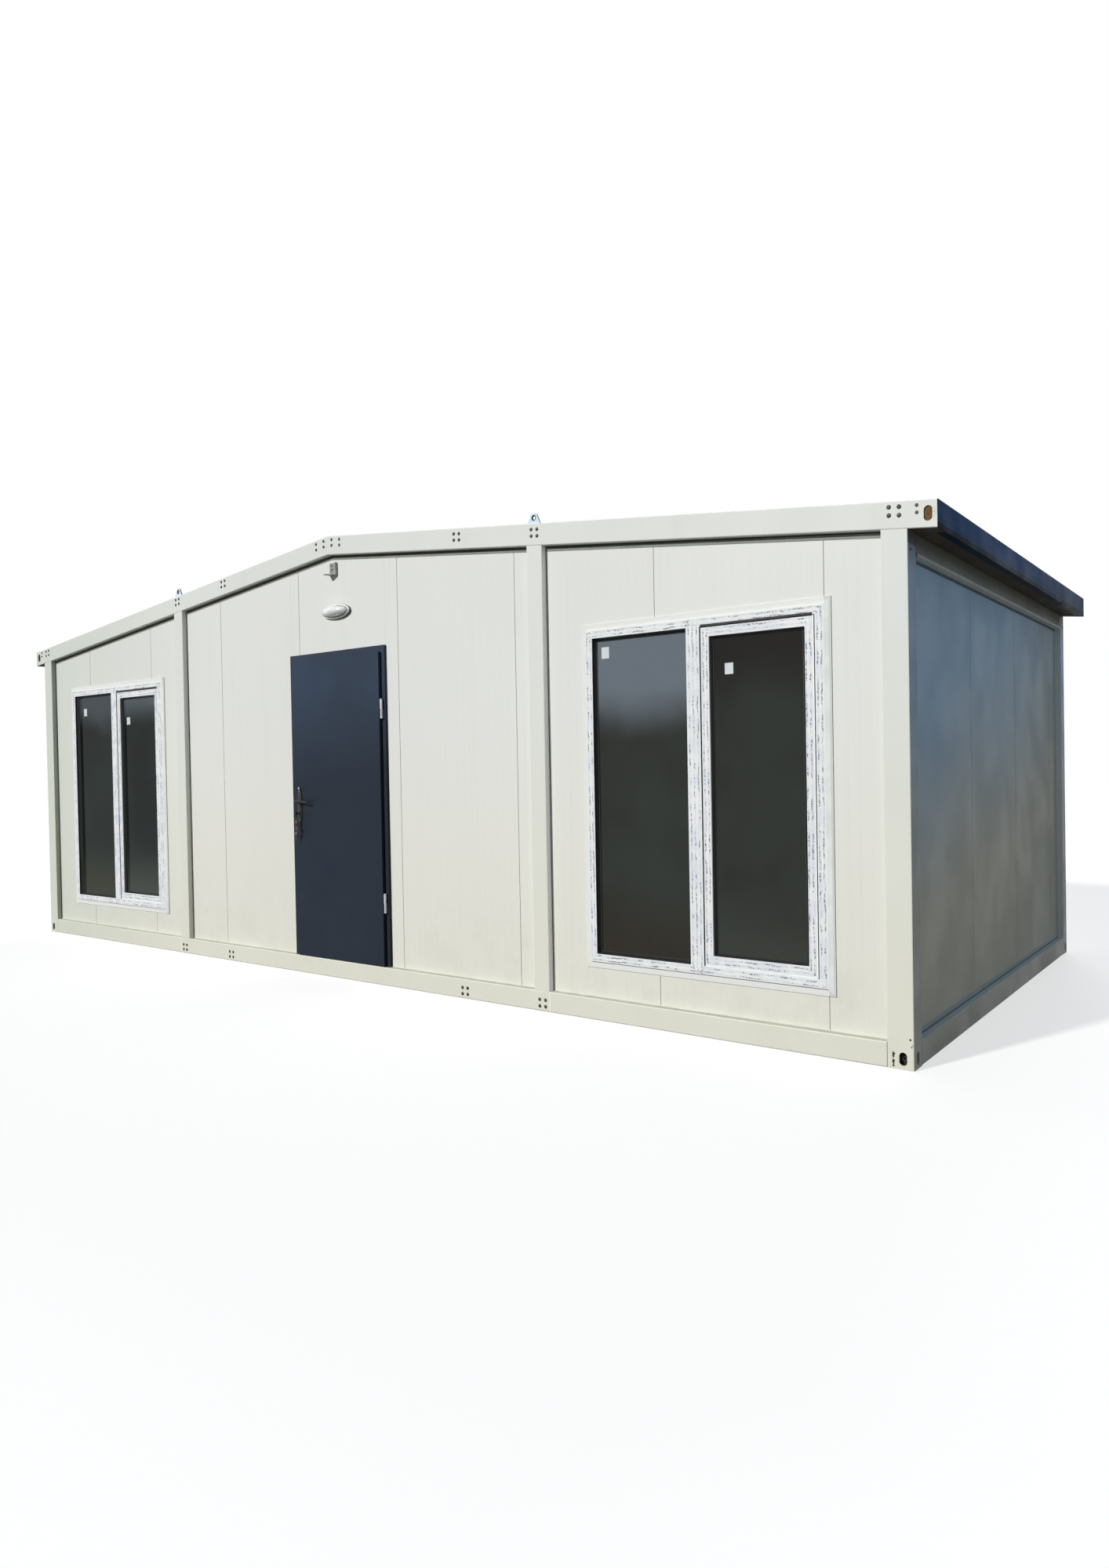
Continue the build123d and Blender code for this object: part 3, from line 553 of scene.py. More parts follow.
# Plain plastics: the gap strips, ledge fillets, black roof joint and the dark end-wall line are painted
# shade, the dark hole colour and the rubber partly so, and the cover is painted light
PLASTICS = (
    ("joint_sealant", (150, 150, 138), 0.7, 300.0), ("ledge_dust_and_shade", (192, 193, 180), 0.8, 120.0),
    ("foot_sealant", (216, 216, 204), 0.8, 120.0), ("eave_lip", (208, 212, 208), 0.6, 120.0),
    ("gap_shadow_black", (7, 8, 5), 0.9, 120.0), ("cover_painted_light", (246, 250, 247), 0.4, 200.0),
    ("gasket_rubber_and_shadow", (30, 32, 32), 0.6, 300.0), ("gap_painted_shadow", (96, 94, 82), 0.9, 150.0),
    ("gap_painted_shade_grey", (134, 137, 129), 0.6, 150.0), ("joint_and_shadow_line", (104, 116, 122), 0.8, 150.0),
    ("joint_dark", (60, 60, 54), 0.8, 150.0), ("tag_red", (68, 30, 27), 0.45, 300.0),
    ("lamp_seal", (150, 154, 150), 0.6, 200.0), ("dark_marks_and_shade", (40, 38, 34), 0.8, 120.0),
    ("blank_paper", (214, 220, 222), 0.7, 500.0),
)
METALS = (
    ("bolt_dark", (84, 80, 74), (46, 42, 36), 0.5, 0.3),
    ("zinc_plate", (206, 208, 212), (168, 172, 178), 0.34, 0.4),
    ("bronze_dark", (34, 33, 30), (18, 18, 17), 0.46, 0.2),
    ("key_steel", (84, 74, 70), (56, 46, 42), 0.42, 0.3),
    ("finial_bright", (168, 168, 164), (120, 116, 108), 0.3, 0.7),
)
for name, tone, roughness, grain in PLASTICS:
    plain_plastic(name, rgb(*tone), roughness, grain)
for name, tone, tarnish, roughness, metallic in METALS:
    metal(name, rgb(*tone), rgb(*tarnish), roughness, metallic)

SLOT_MATS = {
    "frame_paint": "frame_white", "panel_paint": "panel_white", "fascia_paint": "fascia_film",
    "roof_paint": "roof_white", "bearer_paint": "bearer_grey", "deck_board": "deck_board",
    "door_paint": "door_slate", "hinge_zinc": "zinc_plate", "bronze": "bronze_dark", "lamp_rim": "lamp_white",
    "lamp_dome": "lamp_lens", "bracket_zinc": "bracket_zinc", "lug_paint": "lug_blue",
}
NODE_MATS = {"base_beam_back": "back_white", "door_frame": "door_frame_slate"}
PANE_LOOKS = {
    "right": {"gloss": 0.15, "depths": (rgb(44, 51, 45), rgb(32, 33, 26)), "sky": (1.0, 0.0),
              "fade": (1.50, 1.82), "dusk": 0.85, "feet": (rgb(44, 36, 24), rgb(58, 62, 55))},
    "left": {"gloss": 0.012, "depths": (rgb(30, 42, 39), rgb(20, 27, 25)), "sky": (0.36, 0.62),
             "fade": (1.70, 1.98), "dusk": 0.0, "feet": (rgb(64, 68, 54), rgb(78, 84, 76))},
}
windows, sashes = {}, {}


# Bounds and materials of one window, read from the frame
def dress_window(side):
    low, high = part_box("window_frame_" + side)
    windows[side] = (low.x, high.x, low.z, high.z)
    front = low.y
    mullion = low.x + FLANGE + FRAME_BAR + LIGHT_WIDTH
    rows = [mullion + share * MULLION for share in (0.2, 0.5, 0.82)]
    glass_pane("glass_" + side, mullion + MULLION / 2, **PANE_LOOKS[side])
    low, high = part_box("window_sash_" + side)
    sashes[side] = (low.x, low.x + SASH_WIDTH, low.z, high.z)
    film_plastic("film_frame_" + side, windows[side], (0.046, 0.066), 0.0352, front, rows, sashes[side])
    film_plastic("film_sash_" + side, sashes[side], (0.013, 0.034), 0.0, low.y)


for side in SIDES:
    dress_window(side)
    for node, look in (("eave_beam_", "eave_painted_shade"), ("side_wall_", "panel_end"),
                       ("gable_beam_back_", "back_white"), ("gable_beam_front_", "beam_white"),
                       ("window_glass_", "glass_" + side), ("window_frame_", "film_frame_" + side),
                       ("window_sash_", "film_sash_" + side)):
        NODE_MATS[node + side] = look
for part in frame["record"]["subparts"]:
    for place in frame["nodes"][part["node"]].material_slots:
        place.material = MATS[NODE_MATS.get(part["node"]) or SLOT_MATS[part["material_slot"]]]


# Mesh under construction, in the shared frame
class Shape:
    def __init__(self):
        self.points = []
        self.faces = []
        self.kinds = []

    def add(self, points, faces, kind=0):
        base = len(self.points)
        self.points += [tuple(p) for p in points]
        self.faces += [tuple(base + i for i in face) for face in faces]
        self.kinds += [kind] * len(faces)

    # Loops of equal length joined by quads, with caps at both ends
    def loft(self, loops, kind=0, caps=True):
        n = len(loops[0])
        faces = []
        for j in range(len(loops) - 1):
            for i in range(n):
                k = (i + 1) % n
                faces.append((j * n + i, j * n + k, (j + 1) * n + k, (j + 1) * n + i))
        if caps:
            faces.append(tuple(reversed(range(n))))
            faces.append(tuple(range((len(loops) - 1) * n, len(loops) * n)))
        self.add([p for loop in loops for p in loop], faces, kind)

    # Many-sided turned form: centre of its seat, axis, and (height, radius) steps
    def turned(self, centre, axis, steps, sides=6, kind=0, wide=1.0, turn=0.0):
        axis = Vector(axis).normalized()
        up = Vector((0, 0, 1)) if abs(axis.z) < 0.9 else Vector((0, 1, 0))
        across = up.cross(axis).normalized()
        up = axis.cross(across)
        loops = []
        for height, radius in steps:
            seat = Vector(centre) + axis * height
            loops.append([seat + across * (radius * wide * cos(a)) + up * (radius * sin(a))
                          for a in (step + turn for step in circle(sides))])
        self.loft(loops, kind)

    # Box with bevelled edges
    def block(self, low, high, bevel=0.001, kind=0):
        x0, y0, z0 = low
        x1, y1, z1 = high
        c = bevel
        loops = []
        for y, inset in ((y0, c), (y0 + c, 0.0), (y1 - c, 0.0), (y1, c)):
            a0, a1, b0, b1 = x0 + inset, x1 - inset, z0 + inset, z1 - inset
            loops.append([(a0 + c, y, b0), (a1 - c, y, b0), (a1, y, b0 + c), (a1, y, b1 - c),
                          (a1 - c, y, b1), (a0 + c, y, b1), (a0, y, b1 - c), (a0, y, b0 + c)])
        self.loft(loops, kind)

    # Finished piece on a body; smooth is the sharpest angle still shaded round
    def build(self, name, mats, slot, body="house", smooth=None, weld=False):
        mesh = bpy.data.meshes.new(name)
        mesh.from_pydata(self.points, [], self.faces)
        for mat in mats:
            mesh.materials.append(MATS[mat])
        mesh.polygons.foreach_set("material_index", self.kinds)
        work = bmesh.new()
        work.from_mesh(mesh)
        if weld:
            bmesh.ops.remove_doubles(work, verts=work.verts, dist=NEAR)
        bmesh.ops.recalc_face_normals(work, faces=work.faces)
        work.to_mesh(mesh)
        work.free()
        if smooth is not None:
            mesh.shade_smooth()
            mesh.set_sharp_from_angle(angle=radians(smooth))
        piece = bpy.data.objects.new(name, mesh)
        bpy.context.scene.collection.objects.link(piece)
        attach(piece, body)
        return piece


# Points on a wall, from the place along it, the distance out of it and the height
def long_wall(out):
    return lambda u, d, z: (u, out * (WALL_FACE + d), z)


def end_wall(sign):
    return lambda u, d, z: (sign * (END_FACE + d), u, z)


def wall_top(u):
    return underside(u) - SKIN_GAP


# The end walls' sheets end level, at the eave beam
def eave_line(_):
    return EAVE_BEAM_BOTTOM


LONG_WALLS = {"front": long_wall(-1), "back": long_wall(1)}
END_WALLS = {side: end_wall(sign) for side, sign in SIDES.items()}


# Outline across a wall: (place along it, height of the skin), with joints and shallow micro-ribs
def skin_outline(u0, u1, joints, breaks):
    edges = [u0] + [j for j in joints if u0 + 0.02 < j < u1 - 0.02] + [u1]
    line = []
    for a, b in zip(edges, edges[1:]):
        left = a + (JOINT_WIDTH / 2 if a > u0 else 0.0)
        right = b - (JOINT_WIDTH / 2 if b < u1 else 0.0)
        line += [(left, SKIN - 0.0008), (left + 0.0012, SKIN)]
        count = int((b - a) / RIB_PITCH)
        for i in range(1, count):
            u = a + (b - a) * i / count
            floor = SKIN - RIB_DEPTH
            line += [(u - 0.006, SKIN), (u - 0.002, floor), (u + 0.002, floor), (u + 0.006, SKIN)]
        line += [(right - 0.0012, SKIN), (right, SKIN - 0.0008)]
        if b < u1:
            line += [(right + 0.0001, JOINT_FLOOR), (b + JOINT_WIDTH / 2 - 0.0001, JOINT_FLOOR)]
    for stop in breaks:
        for i in range(len(line) - 1):
            if line[i][0] + NEAR < stop < line[i + 1][0] - NEAR:
                share = (stop - line[i][0]) / (line[i + 1][0] - line[i][0])
                line.insert(i + 1, (stop, line[i][1] + share * (line[i + 1][1] - line[i][1])))
                break
    return line


# Thin pressed sheet on a wall, its hole fitted round the window frame
def wall_skin(name, u0, u1, place=LONG_WALLS["front"], foot=BASE_HEIGHT, top=wall_top, joints=JOINTS_FRONT,
              hole=None, mat="panel_white"):
    sides, levels = (hole[:2], hole[2:]) if hole else ((), ())
    line = skin_outline(u0, u1, joints, ([0.0] if u0 < 0 < u1 else []) + list(sides))
    shape = Shape()
    for (ua, da), (ub, db) in zip(line, line[1:]):
        kind = 1 if da == JOINT_FLOOR and db == JOINT_FLOOR else 0
        inside = hole and sides[0] - NEAR <= ua and ub <= sides[1] + NEAR
        levels_a, levels_b = [foot, *levels, top(ua)], [foot, *levels, top(ub)]
        rows = len(levels_a) - 1
        for row in range(rows):
            if inside and row == 1:
                continue
            low_a, high_a, low_b, high_b = levels_a[row], levels_a[row + 1], levels_b[row], levels_b[row + 1]
            corners = ((ua, da, low_a), (ub, db, low_b), (ub, db, high_b), (ua, da, high_a))
            front = [place(*corner) for corner in corners]
            rear = [place(u, SKIN_BACK, z) for u, _, z in corners]
            shape.add(front, [(0, 1, 2, 3)], kind)
            shape.add(rear, [(3, 2, 1, 0)])
            beside = hole and row == 1
            for i, j, is_edge in ((0, 1, row == 0 or (inside and row == 2)),
                                  (3, 2, row == rows - 1 or (inside and row == 0)),
                                  (1, 2, beside and abs(ub - sides[0]) < NEAR),
                                  (0, 3, beside and abs(ua - sides[1]) < NEAR),
                                  (0, 3, (ua, da) == line[0]),
                                  (1, 2, (ub, db) == line[-1])):
                if is_edge:
                    shape.add([front[i], front[j], rear[j], rear[i]], [(0, 1, 2, 3)])
    shape.build("skin_" + name, [mat, "joint_sealant"], "panel_paint", weld=True)


wall_skin("front_right", HALF_CENTRE, WING_OUT, hole=windows["right"])
wall_skin("front_left", -WING_OUT, -HALF_CENTRE, hole=windows["left"])
wall_skin("front_beside_lock", -BAY, DOOR_LEFT)
wall_skin("front_beside_hinge", DOOR_RIGHT, BAY)
wall_skin("front_over_door", DOOR_LEFT, DOOR_RIGHT, foot=DOOR_TOP)
wall_skin("back_right", HALF_CENTRE, WING_OUT, LONG_WALLS["back"])
wall_skin("back_left", -WING_OUT, -HALF_CENTRE, LONG_WALLS["back"])
wall_skin("back_centre", -BAY, BAY, LONG_WALLS["back"])
for tag, place in END_WALLS.items():
    wall_skin("end_" + tag, -POST_BACK, POST_BACK, place, BASE_HEIGHT, eave_line, JOINTS_END, mat="panel_end")


# Bar along a wall between two ends, its ends cut upright and its outer edges bevelled
def strip(shape, start, end, low, high, place, depth, kind=0):
    loops = []
    for u in (start, end):
        z0, z1 = low(u), high(u)
        c = min(0.0008, (z1 - z0) * 0.2)
        loops.append([place(u, SKIN_BACK, z0), place(u, depth - c, z0), place(u, depth, z0 + c),
                      place(u, depth, z1 - c), place(u, depth - c, z1), place(u, SKIN_BACK, z1)])
    shape.loft(loops, kind)


# Level strips along a wall, each given by its foot, head, depth and material
def level_strips(shape, start, end, place, rows):
    for foot, head, depth, kind in rows:
        strip(shape, start, end, lambda u: foot, lambda u: head, place, depth, kind)


# Painted shadow of the gable beams in the gap above the panels, front and back: a dark strip and a grey strip
# below it
def top_gaps():
    spans = ((-WING_OUT, -HALF_CENTRE, 0.020, 0.020), (-BAY, 0.0, 0.020, 0.020), (0.0, BAY, 0.018, 0.014),
             (HALF_CENTRE, WING_OUT, 0.013, 0.007))
    for tag, place in LONG_WALLS.items():
        shape = Shape()
        for a, b, dark_a, dark_b in spans:
            def edge(u):
                return underside(u) - dark_a - (dark_b - dark_a) * (u - a) / (b - a)

            strip(shape, a + 0.0005, b - 0.0005, edge, underside, place, 0.0012)
            strip(shape, a + 0.0005, b - 0.0005, wall_top, edge, place, 0.0048, 1)
        shape.build("top_gap_" + tag, ["gap_painted_shadow", "gap_painted_shade_grey"], "panel_paint")


# Grey fillets on the ledge of the base beam, painted shade and dust; film and dark lines at the foot and top
# of the end walls
def ledges():
    ledge_top, foot, film_foot, film_top = (BASE_HEIGHT + rise for rise in (0.0015, 0.001, 0.0075, 0.034))
    for tag, place in LONG_WALLS.items():
        shape = Shape()
        spans = [(-WING_OUT, -HALF_CENTRE), (-BAY, BAY), (HALF_CENTRE, WING_OUT)]
        if tag == "front":
            spans[1:2] = [(-BAY, DOOR_LEFT), (DOOR_RIGHT, BAY)]
        for a, b in spans:
            level_strips(shape, a + 0.001, b - 0.001, place, (
                (BASE_HEIGHT, ledge_top, WALL_RECESS - 0.004, 0), (foot, BASE_HEIGHT + 0.005, 0.0045, 1)))
        shape.build("ledge_" + tag, ["ledge_dust_and_shade", "foot_sealant"], "frame_paint")
    for tag, place in END_WALLS.items():
        shape = Shape()
        # End walls: film on the ledge and above it, a dark joint at the foot, and a dark line under the eave
        # beam as painted shadow
        level_strips(shape, *BETWEEN_POSTS, place, (
            (BASE_HEIGHT, ledge_top, WALL_RECESS - 0.003, 0), (foot, film_foot, 0.0050, 1),
            (film_foot, film_top, SKIN + 0.0005, 0),
            (EAVE_BEAM_BOTTOM - 0.016, EAVE_BEAM_BOTTOM - 0.003, SKIN + 0.001, 1)))
        shape.build("ledge_" + tag, ["ledge_film", "joint_and_shadow_line"], "frame_paint")


# Dark joints where the wall sheets meet the posts
def post_joints():
    shape = Shape()
    for place in LONG_WALLS.values():
        for edge in (WING_OUT, HALF_CENTRE, BAY):
            for sign in (-1, 1):
                inward = sign * (1 if edge == HALF_CENTRE else -1)
                a, b = sorted((sign * edge + inward * 0.0003, sign * edge + inward * 0.0035))
                strip(shape, a, b, lambda u: BASE_HEIGHT + 0.006, wall_top, place, SKIN + 0.0008)
    shape.build("post_joints", ["joint_dark"], "panel_paint")


# Hexagon bolt with its washer, its head proud of the steel by the given height
def bolt(shape, centre, axis, proud, across=0.0078, turn=0.0):
    washer = across * 1.35
    shape.turned(centre, axis, [(-0.001, washer), (proud * 0.2, washer), (proud * 0.3, washer * 0.93)], 20)
    shape.turned(centre, axis, [(0.0, across), (proud * 0.85, across), (proud, across * 0.86)], 6, turn=turn)


# Bolts of the front beams, those of the left gable groups a little higher
def frame_bolts():
    shape = Shape()

    def front_bolt(x, z, turn, across=0.0078):
        bolt(shape, (x, -HALF_DEPTH, z), (0, -1, 0), 0.0045, across, turn)

    for sign in (-1, 1):
        lift = 0.008 if sign < 0 else 0.0
        for x in BEAM_GROUPS:
            for dx in (-GROUP_X, GROUP_X):
                for dz in (-GROUP_Z, GROUP_Z):
                    at = sign * x + dx
                    front_bolt(at, topside(at) - GROUP_DROP + lift + dz, dx * 40)
                    front_bolt(at, GROUP_BASE + dz, dz * 40)
        for x in CORNER_BOLTS:
            for drop in CORNER_DROPS:
                front_bolt(sign * x, topside(x) - drop, drop * 30)
        for drop in TAIL_DROPS:
            front_bolt(sign * TAIL_BOLT, topside(TAIL_BOLT) - drop, drop * 30, 0.0060)
        for dx in RIDGE_BOLTS:
            for drop in RIDGE_DROPS:
                front_bolt(sign * dx + 0.003, topside(dx) - drop, drop * 30)
    shape.build("frame_bolts_front", ["bolt_dark"], "bracket_zinc", smooth=40)


# Rectangular ring in the wall plane, its front edges bevelled
def ring_strip(shape, bounds, width, y0, y1):
    x0, x1, z0, z1 = bounds
    c = width * 0.25
    section = [(0.0, y0 + c), (c, y0), (width - c, y0), (width, y0 + c), (width, y1), (0.0, y1)]
    loops = []
    for sx, sz in ((-1, -1), (1, -1), (1, 1), (-1, 1), (-1, -1)):
        px, pz = (x0 if sx < 0 else x1), (z0 if sz < 0 else z1)
        loops.append([(px - sx * t, y, pz - sz * t) for t, y in section])
    shape.loft(loops, caps=False)


# Gaskets of both lights and the sash, strips in the gap round the sash as painted shadow and painted light,
# and the flange's right return, whiter than the frame as painted light
def window_gaskets(side):
    x0, x1, z0, z1 = windows[side]
    inset = FLANGE + FRAME_BAR
    light = (x0 + inset, x0 + inset + LIGHT_WIDTH, z0 + inset, z1 - inset)
    left, right, foot, head = sashes[side]
    wall, groove = -WALL_FACE, FRAME_FRONT + 0.0030
    shape = Shape()
    for bounds, t, width, front, back in ((light, 0.0085, 0.0075, PANE_Y - 0.0035, PANE_Y),
                                          (sashes[side], 0.0545, 0.0075, PANE_Y - 0.0035, PANE_Y),
                                          (sashes[side], -0.0056, 0.0052, wall - 0.0105, wall + 0.006)):
        ring_strip(shape, (bounds[0] + t, bounds[1] - t, bounds[2] + t, bounds[3] - t), width, front, back)
    # Dark strip in the gap above the sash: painted shadow
    shape.block((left - 0.0006, FRAME_FRONT + 0.0006, head + 0.0002),
                (right + 0.0006, wall, head + 0.0058), 0.0004)
    # Pale strips in the gap at the sash's side and foot: painted light that hides the gap's shade
    shape.block((right + 0.0002, groove, foot - 0.0050), (right + 0.0058, wall, head - 0.0005), 0.0004, 1)
    shape.block((left + 0.0005, groove, foot - 0.0058), (right, wall, foot - 0.0002), 0.0004, 1)
    # The flange's right return, whiter than the frame: painted light
    section = [(0.0090, wall - 0.0078), (0.0110, wall - 0.0092), (0.0340, FRAME_FRONT - 0.0002),
               (0.0353, FRAME_FRONT - 0.0002), (0.0353, wall - 0.0078)]
    shape.loft([[(x1 - t, y, edge + into * t) for t, y in section] for edge, into in ((z0, 1), (z1, -1))], 1)
    shape.build("gaskets_" + side, ["gasket_rubber_and_shadow", "cover_painted_light"], "window_plastic", weld=True)


# Blank paper square on a pane
def sticker(name, x, z, wide, tall):
    shape = Shape()
    shape.block((x, PANE_Y - 0.0007, z), (x + wide, PANE_Y - 0.0001, z + tall), 0.0002)
    shape.build("sticker_" + name, ["blank_paper"], "window_plastic")


top_gaps()
ledges()
post_joints()
frame_bolts()
for side in windows:
    window_gaskets(side)
sticker("right_sash", 2.952, 1.826, 0.048, 0.056)
sticker("right_light", 2.196, 1.962, 0.050, 0.062)
sticker("left_sash", -2.640, 1.800, 0.050, 0.060)
sticker("left_light", -3.330, 1.900, 0.050, 0.062)


# Rust inside the long holes of the beam ends, bare at the front right, and painted shade in the others
def end_hole_fills():
    shape = Shape()
    half_width, half_height, sunk, thick = 0.0195, 0.034, 0.0052, 0.0016
    x = OVERHANG_END - 0.044
    z = topside(x) - 0.060
    for sign, out in CORNERS:
        y = out * (HALF_DEPTH - sunk)
        loop = [[(sign * x + half_width * cos(a), y_at, z + half_height * sin(a)) for a in circle(40)]
                for y_at in (y, y - out * thick)]
        shape.loft(loop, 0 if sign > 0 and out < 0 else 1)
    shape.build("end_hole_rust_and_shade", ["raw_rust", "dark_marks_and_shade"], "frame_paint")


# Bead of weld between two points, lightly rippled
def weld(shape, a, b, radius):
    random.seed(7)
    a, b = Vector(a), Vector(b)
    steps = max(2, int((b - a).length / 0.006))
    d = (b - a).normalized()
    across = d.orthogonal().normalized()
    up = d.cross(across)
    loops = []
    for i in range(steps + 1):
        c = a.lerp(b, i / steps)
        r = radius * (0.86 + 0.2 * random.random())
        loops.append([c + across * (r * cos(t)) + up * (r * sin(t)) for t in circle(8)])
    shape.loft(loops)


# Weld beads at the lugs' feet and a dark lining in their holes, painted shade in the bore
def lug_details():
    welds, linings = Shape(), Shape()
    x0, x1 = LUG_X - LUG_WIDTH / 2, LUG_X + LUG_WIDTH / 2
    wide, tight = LUG_HOLE_RADIUS + 0.001, LUG_HOLE_RADIUS - 0.0012
    outer, inner = LUG_FACE + 0.0003, LUG_FACE - LUG_THICK - 0.0003
    z = topside(LUG_X) + LUG_HOLE_RISE
    for sign, out in CORNERS:
        for y in (LUG_FACE, LUG_FACE - LUG_THICK):
            weld(welds, (sign * x0, out * y, topside(x0)), (sign * x1, out * y, topside(x1)), 0.003)
        loops = []
        for r, y in ((wide, outer), (tight, outer), (tight, inner), (wide, inner), (wide, outer)):
            loops.append([(sign * LUG_X + r * cos(a), out * y, z + r * sin(a)) for a in circle(48)])
        linings.loft(loops, caps=False)
    welds.build("lug_welds", ["lug_blue"], "lug_paint", smooth=60)
    linings.build("lug_hole_linings", ["dark_marks_and_shade"], "lug_paint", smooth=40, weld=True)


# Screws of the roof sheets, on the crests of the ribs
def roof_screws():
    shape = Shape()
    slope = Vector((SLOPE, 0, 1)).normalized()
    lift, thick, rib_height, pitch = 0.006, 0.086, 0.022, 0.25
    crest = lift + thick + rib_height
    columns = (0.62, 1.45, 2.3, 3.15, 3.92)
    for sign in (-1, 1):
        for rib in range(14):
            for x in columns[rib % 2::2]:
                centre = (sign * x, (rib - 6.5) * pitch, underside(x) + crest)
                bolt(shape, centre, (sign * slope.x, 0, slope.z), 0.006, 0.0048)
    shape.build("roof_screws", ["bolt_dark"], "roof_paint", smooth=40)


# Lower lip of the eave beams and a black strip along their top, painted shadow in the joint under the roof
def eave_trim(side, sign):
    shape = Shape()
    lip = [(0.0, 0.010), (0.0035, 0.008), (0.0035, -0.001), (-0.030, -0.001), (-0.030, -0.003),
           (0.0055, -0.003), (0.0065, -0.002), (0.0065, 0.010), (0.0035, 0.013), (0.0, 0.013)]
    shadow_strip = [(-0.0005, -0.0125), (0.0011, -0.0119), (0.0011, -0.0006), (-0.0005, 0.0)]
    for kind, (profile, z) in enumerate(((lip, EAVE_BEAM_BOTTOM), (shadow_strip, EAVE_HEIGHT + 0.0058))):
        shape.loft([[(sign * HALF_WIDTH + sign * px, y, z + pz) for px, pz in profile]
                    for y in BETWEEN_POSTS], kind)
    shape.build("eave_trim_" + side, ["eave_lip", "gap_shadow_black"], "frame_paint", smooth=40)


# Small bolts near the tops of the corner posts' side faces
def post_bolts():
    shape = Shape()
    for sign, out in CORNERS:
        centre = (sign * HALF_WIDTH, out * (HALF_DEPTH - 0.034), EAVE_HEIGHT - 0.085)
        bolt(shape, centre, (sign, 0, 0), 0.004, 0.006)
    shape.build("post_bolts", ["bolt_dark"], "bracket_zinc", smooth=40)


# Sheet in painted shade under each roof overhang, between the eave beam and the folded fascia
def soffits():
    shape = Shape()
    for sign in (-1, 1):
        xa, xb = HALF_WIDTH + 0.001, HALF_WIDTH + 0.094
        section = ((xa, xa, 0.006), (xb, xb, 0.006), (xb, xb, 0.0035), (xa + 0.0008, xa, 0.0027),
                   (xa, xa, 0.0035))
        shape.loft([[(sign * x, y, underside(at) + lift) for x, at, lift in section]
                    for y in BETWEEN_POSTS])
        xa, xb = HALF_WIDTH + 0.0005, HALF_WIDTH + 0.129
        section = ((xa, 0.0004), (xb, 0.0004), (xb, -0.0016), (xa, -0.0016))
        for out in (-1, 1):
            shape.loft([[(sign * x, out * y, underside(x) + lift) for x, lift in section]
                        for y in (POST_BACK - 0.001, HALF_DEPTH - 0.0004)])
    shape.build("soffit_sheets", ["soffit_painted_shade"], "roof_paint")


# Scratches and punch dots at the front right foot, and specks on the overhanging beam end
def foot_marks():
    shape = Shape()

    def spot(x, z, radius, heights, sides, wide=1.0, turn=0.0):
        steps = [(-0.0005, radius), (heights[0], radius), (heights[1], radius * 0.7)]
        shape.turned((x, -HALF_DEPTH, z), (0, -1, 0), steps, sides, wide=wide, turn=turn)

    flat, raised = (0.0004, 0.0006), (0.0006, 0.0010)
    random.seed(11)
    for i in range(11):
        x = 3.8035 + 0.0028 * random.random()
        radius = 0.0018 + 0.0024 * random.random()
        spot(x, 0.012 + i * 0.0062, radius, flat, 9, 1.0 + random.random(), random.random())
    for x, z, radius in ((3.8829, 0.1379, 0.0048), (3.8881, 0.1062, 0.0030), (3.8935, 0.1137, 0.0022)):
        spot(x, z, radius, raised, 14)
    for x, z, radius in ((4.0180, 2.452, 0.0016), (4.0225, 2.462, 0.0012), (4.0200, 2.440, 0.0013),
                         (4.0150, 2.431, 0.0011), (4.0240, 2.446, 0.0010), (4.0175, 2.470, 0.0010)):
        spot(x, z, radius, flat, 9, 1.5)
    shape.build("foot_marks", ["dark_marks_and_shade"], "bracket_zinc")


# Round wire bent to a ring, or to an arc when its sweep is less than a full turn
def tube_ring(shape, centre, radius, thick, tilt, count=36, start=0.0, sweep=2 * pi):
    turn = Matrix.Rotation(tilt[0], 4, "X") @ Matrix.Rotation(tilt[1], 4, "Z")
    loops = []
    for i in range(count + 1):
        a = start + sweep * i / count
        loop = []
        for b in circle(10):
            r = radius + thick * cos(b)
            spoke = Vector((r * cos(a), thick * sin(b), r * sin(a)))
            loop.append(Vector(centre) + turn @ spoke)
        loops.append(loop)
    shape.loft(loops, 1, caps=sweep < 6.28)


# Small bracket plates where the eave beams meet the back posts
def corner_plates():
    shape = Shape()
    for sign in (-1, 1):
        low, high = sorted((sign * (HALF_WIDTH - 0.001), sign * (HALF_WIDTH + 0.003)))
        shape.block((low, POST_BACK - 0.050, EAVE_BEAM_BOTTOM + 0.028),
                    (high, POST_BACK - 0.004, EAVE_BEAM_BOTTOM + 0.070), 0.0008)
    shape.build("corner_plates", ["frame_white"], "frame_paint")


# Dark blocks inside the corner castings, painted shade seen through their long holes, and a bent wire in the
# front right one
def casting_shade_cores():
    shape = Shape()
    for sign, out in CORNERS:
        x0, x1 = sorted((sign * (HALF_WIDTH - CORNER_POST + 0.010), sign * (HALF_WIDTH - 0.032)))
        y0, y1 = sorted((out * (HALF_DEPTH - 0.100), out * (HALF_DEPTH - 0.030)))
        shape.block((x0, y0, 0.0095), (x1, y1, 0.105), 0.002)
    wire = (HALF_WIDTH - 0.049, -HALF_DEPTH + 0.016, 0.046)
    tube_ring(shape, wire, 0.0105, 0.0021, (0.2, -0.5), 30, 0.9, 4.4)
    shape.build("casting_shade_cores", ["dark_marks_and_shade", "bolt_dark"], "frame_paint", weld=True)


end_hole_fills()
lug_details()
roof_screws()
for side, sign in SIDES.items():
    eave_trim(side, sign)
post_bolts()
soffits()
foot_marks()
corner_plates()
casting_shade_cores()


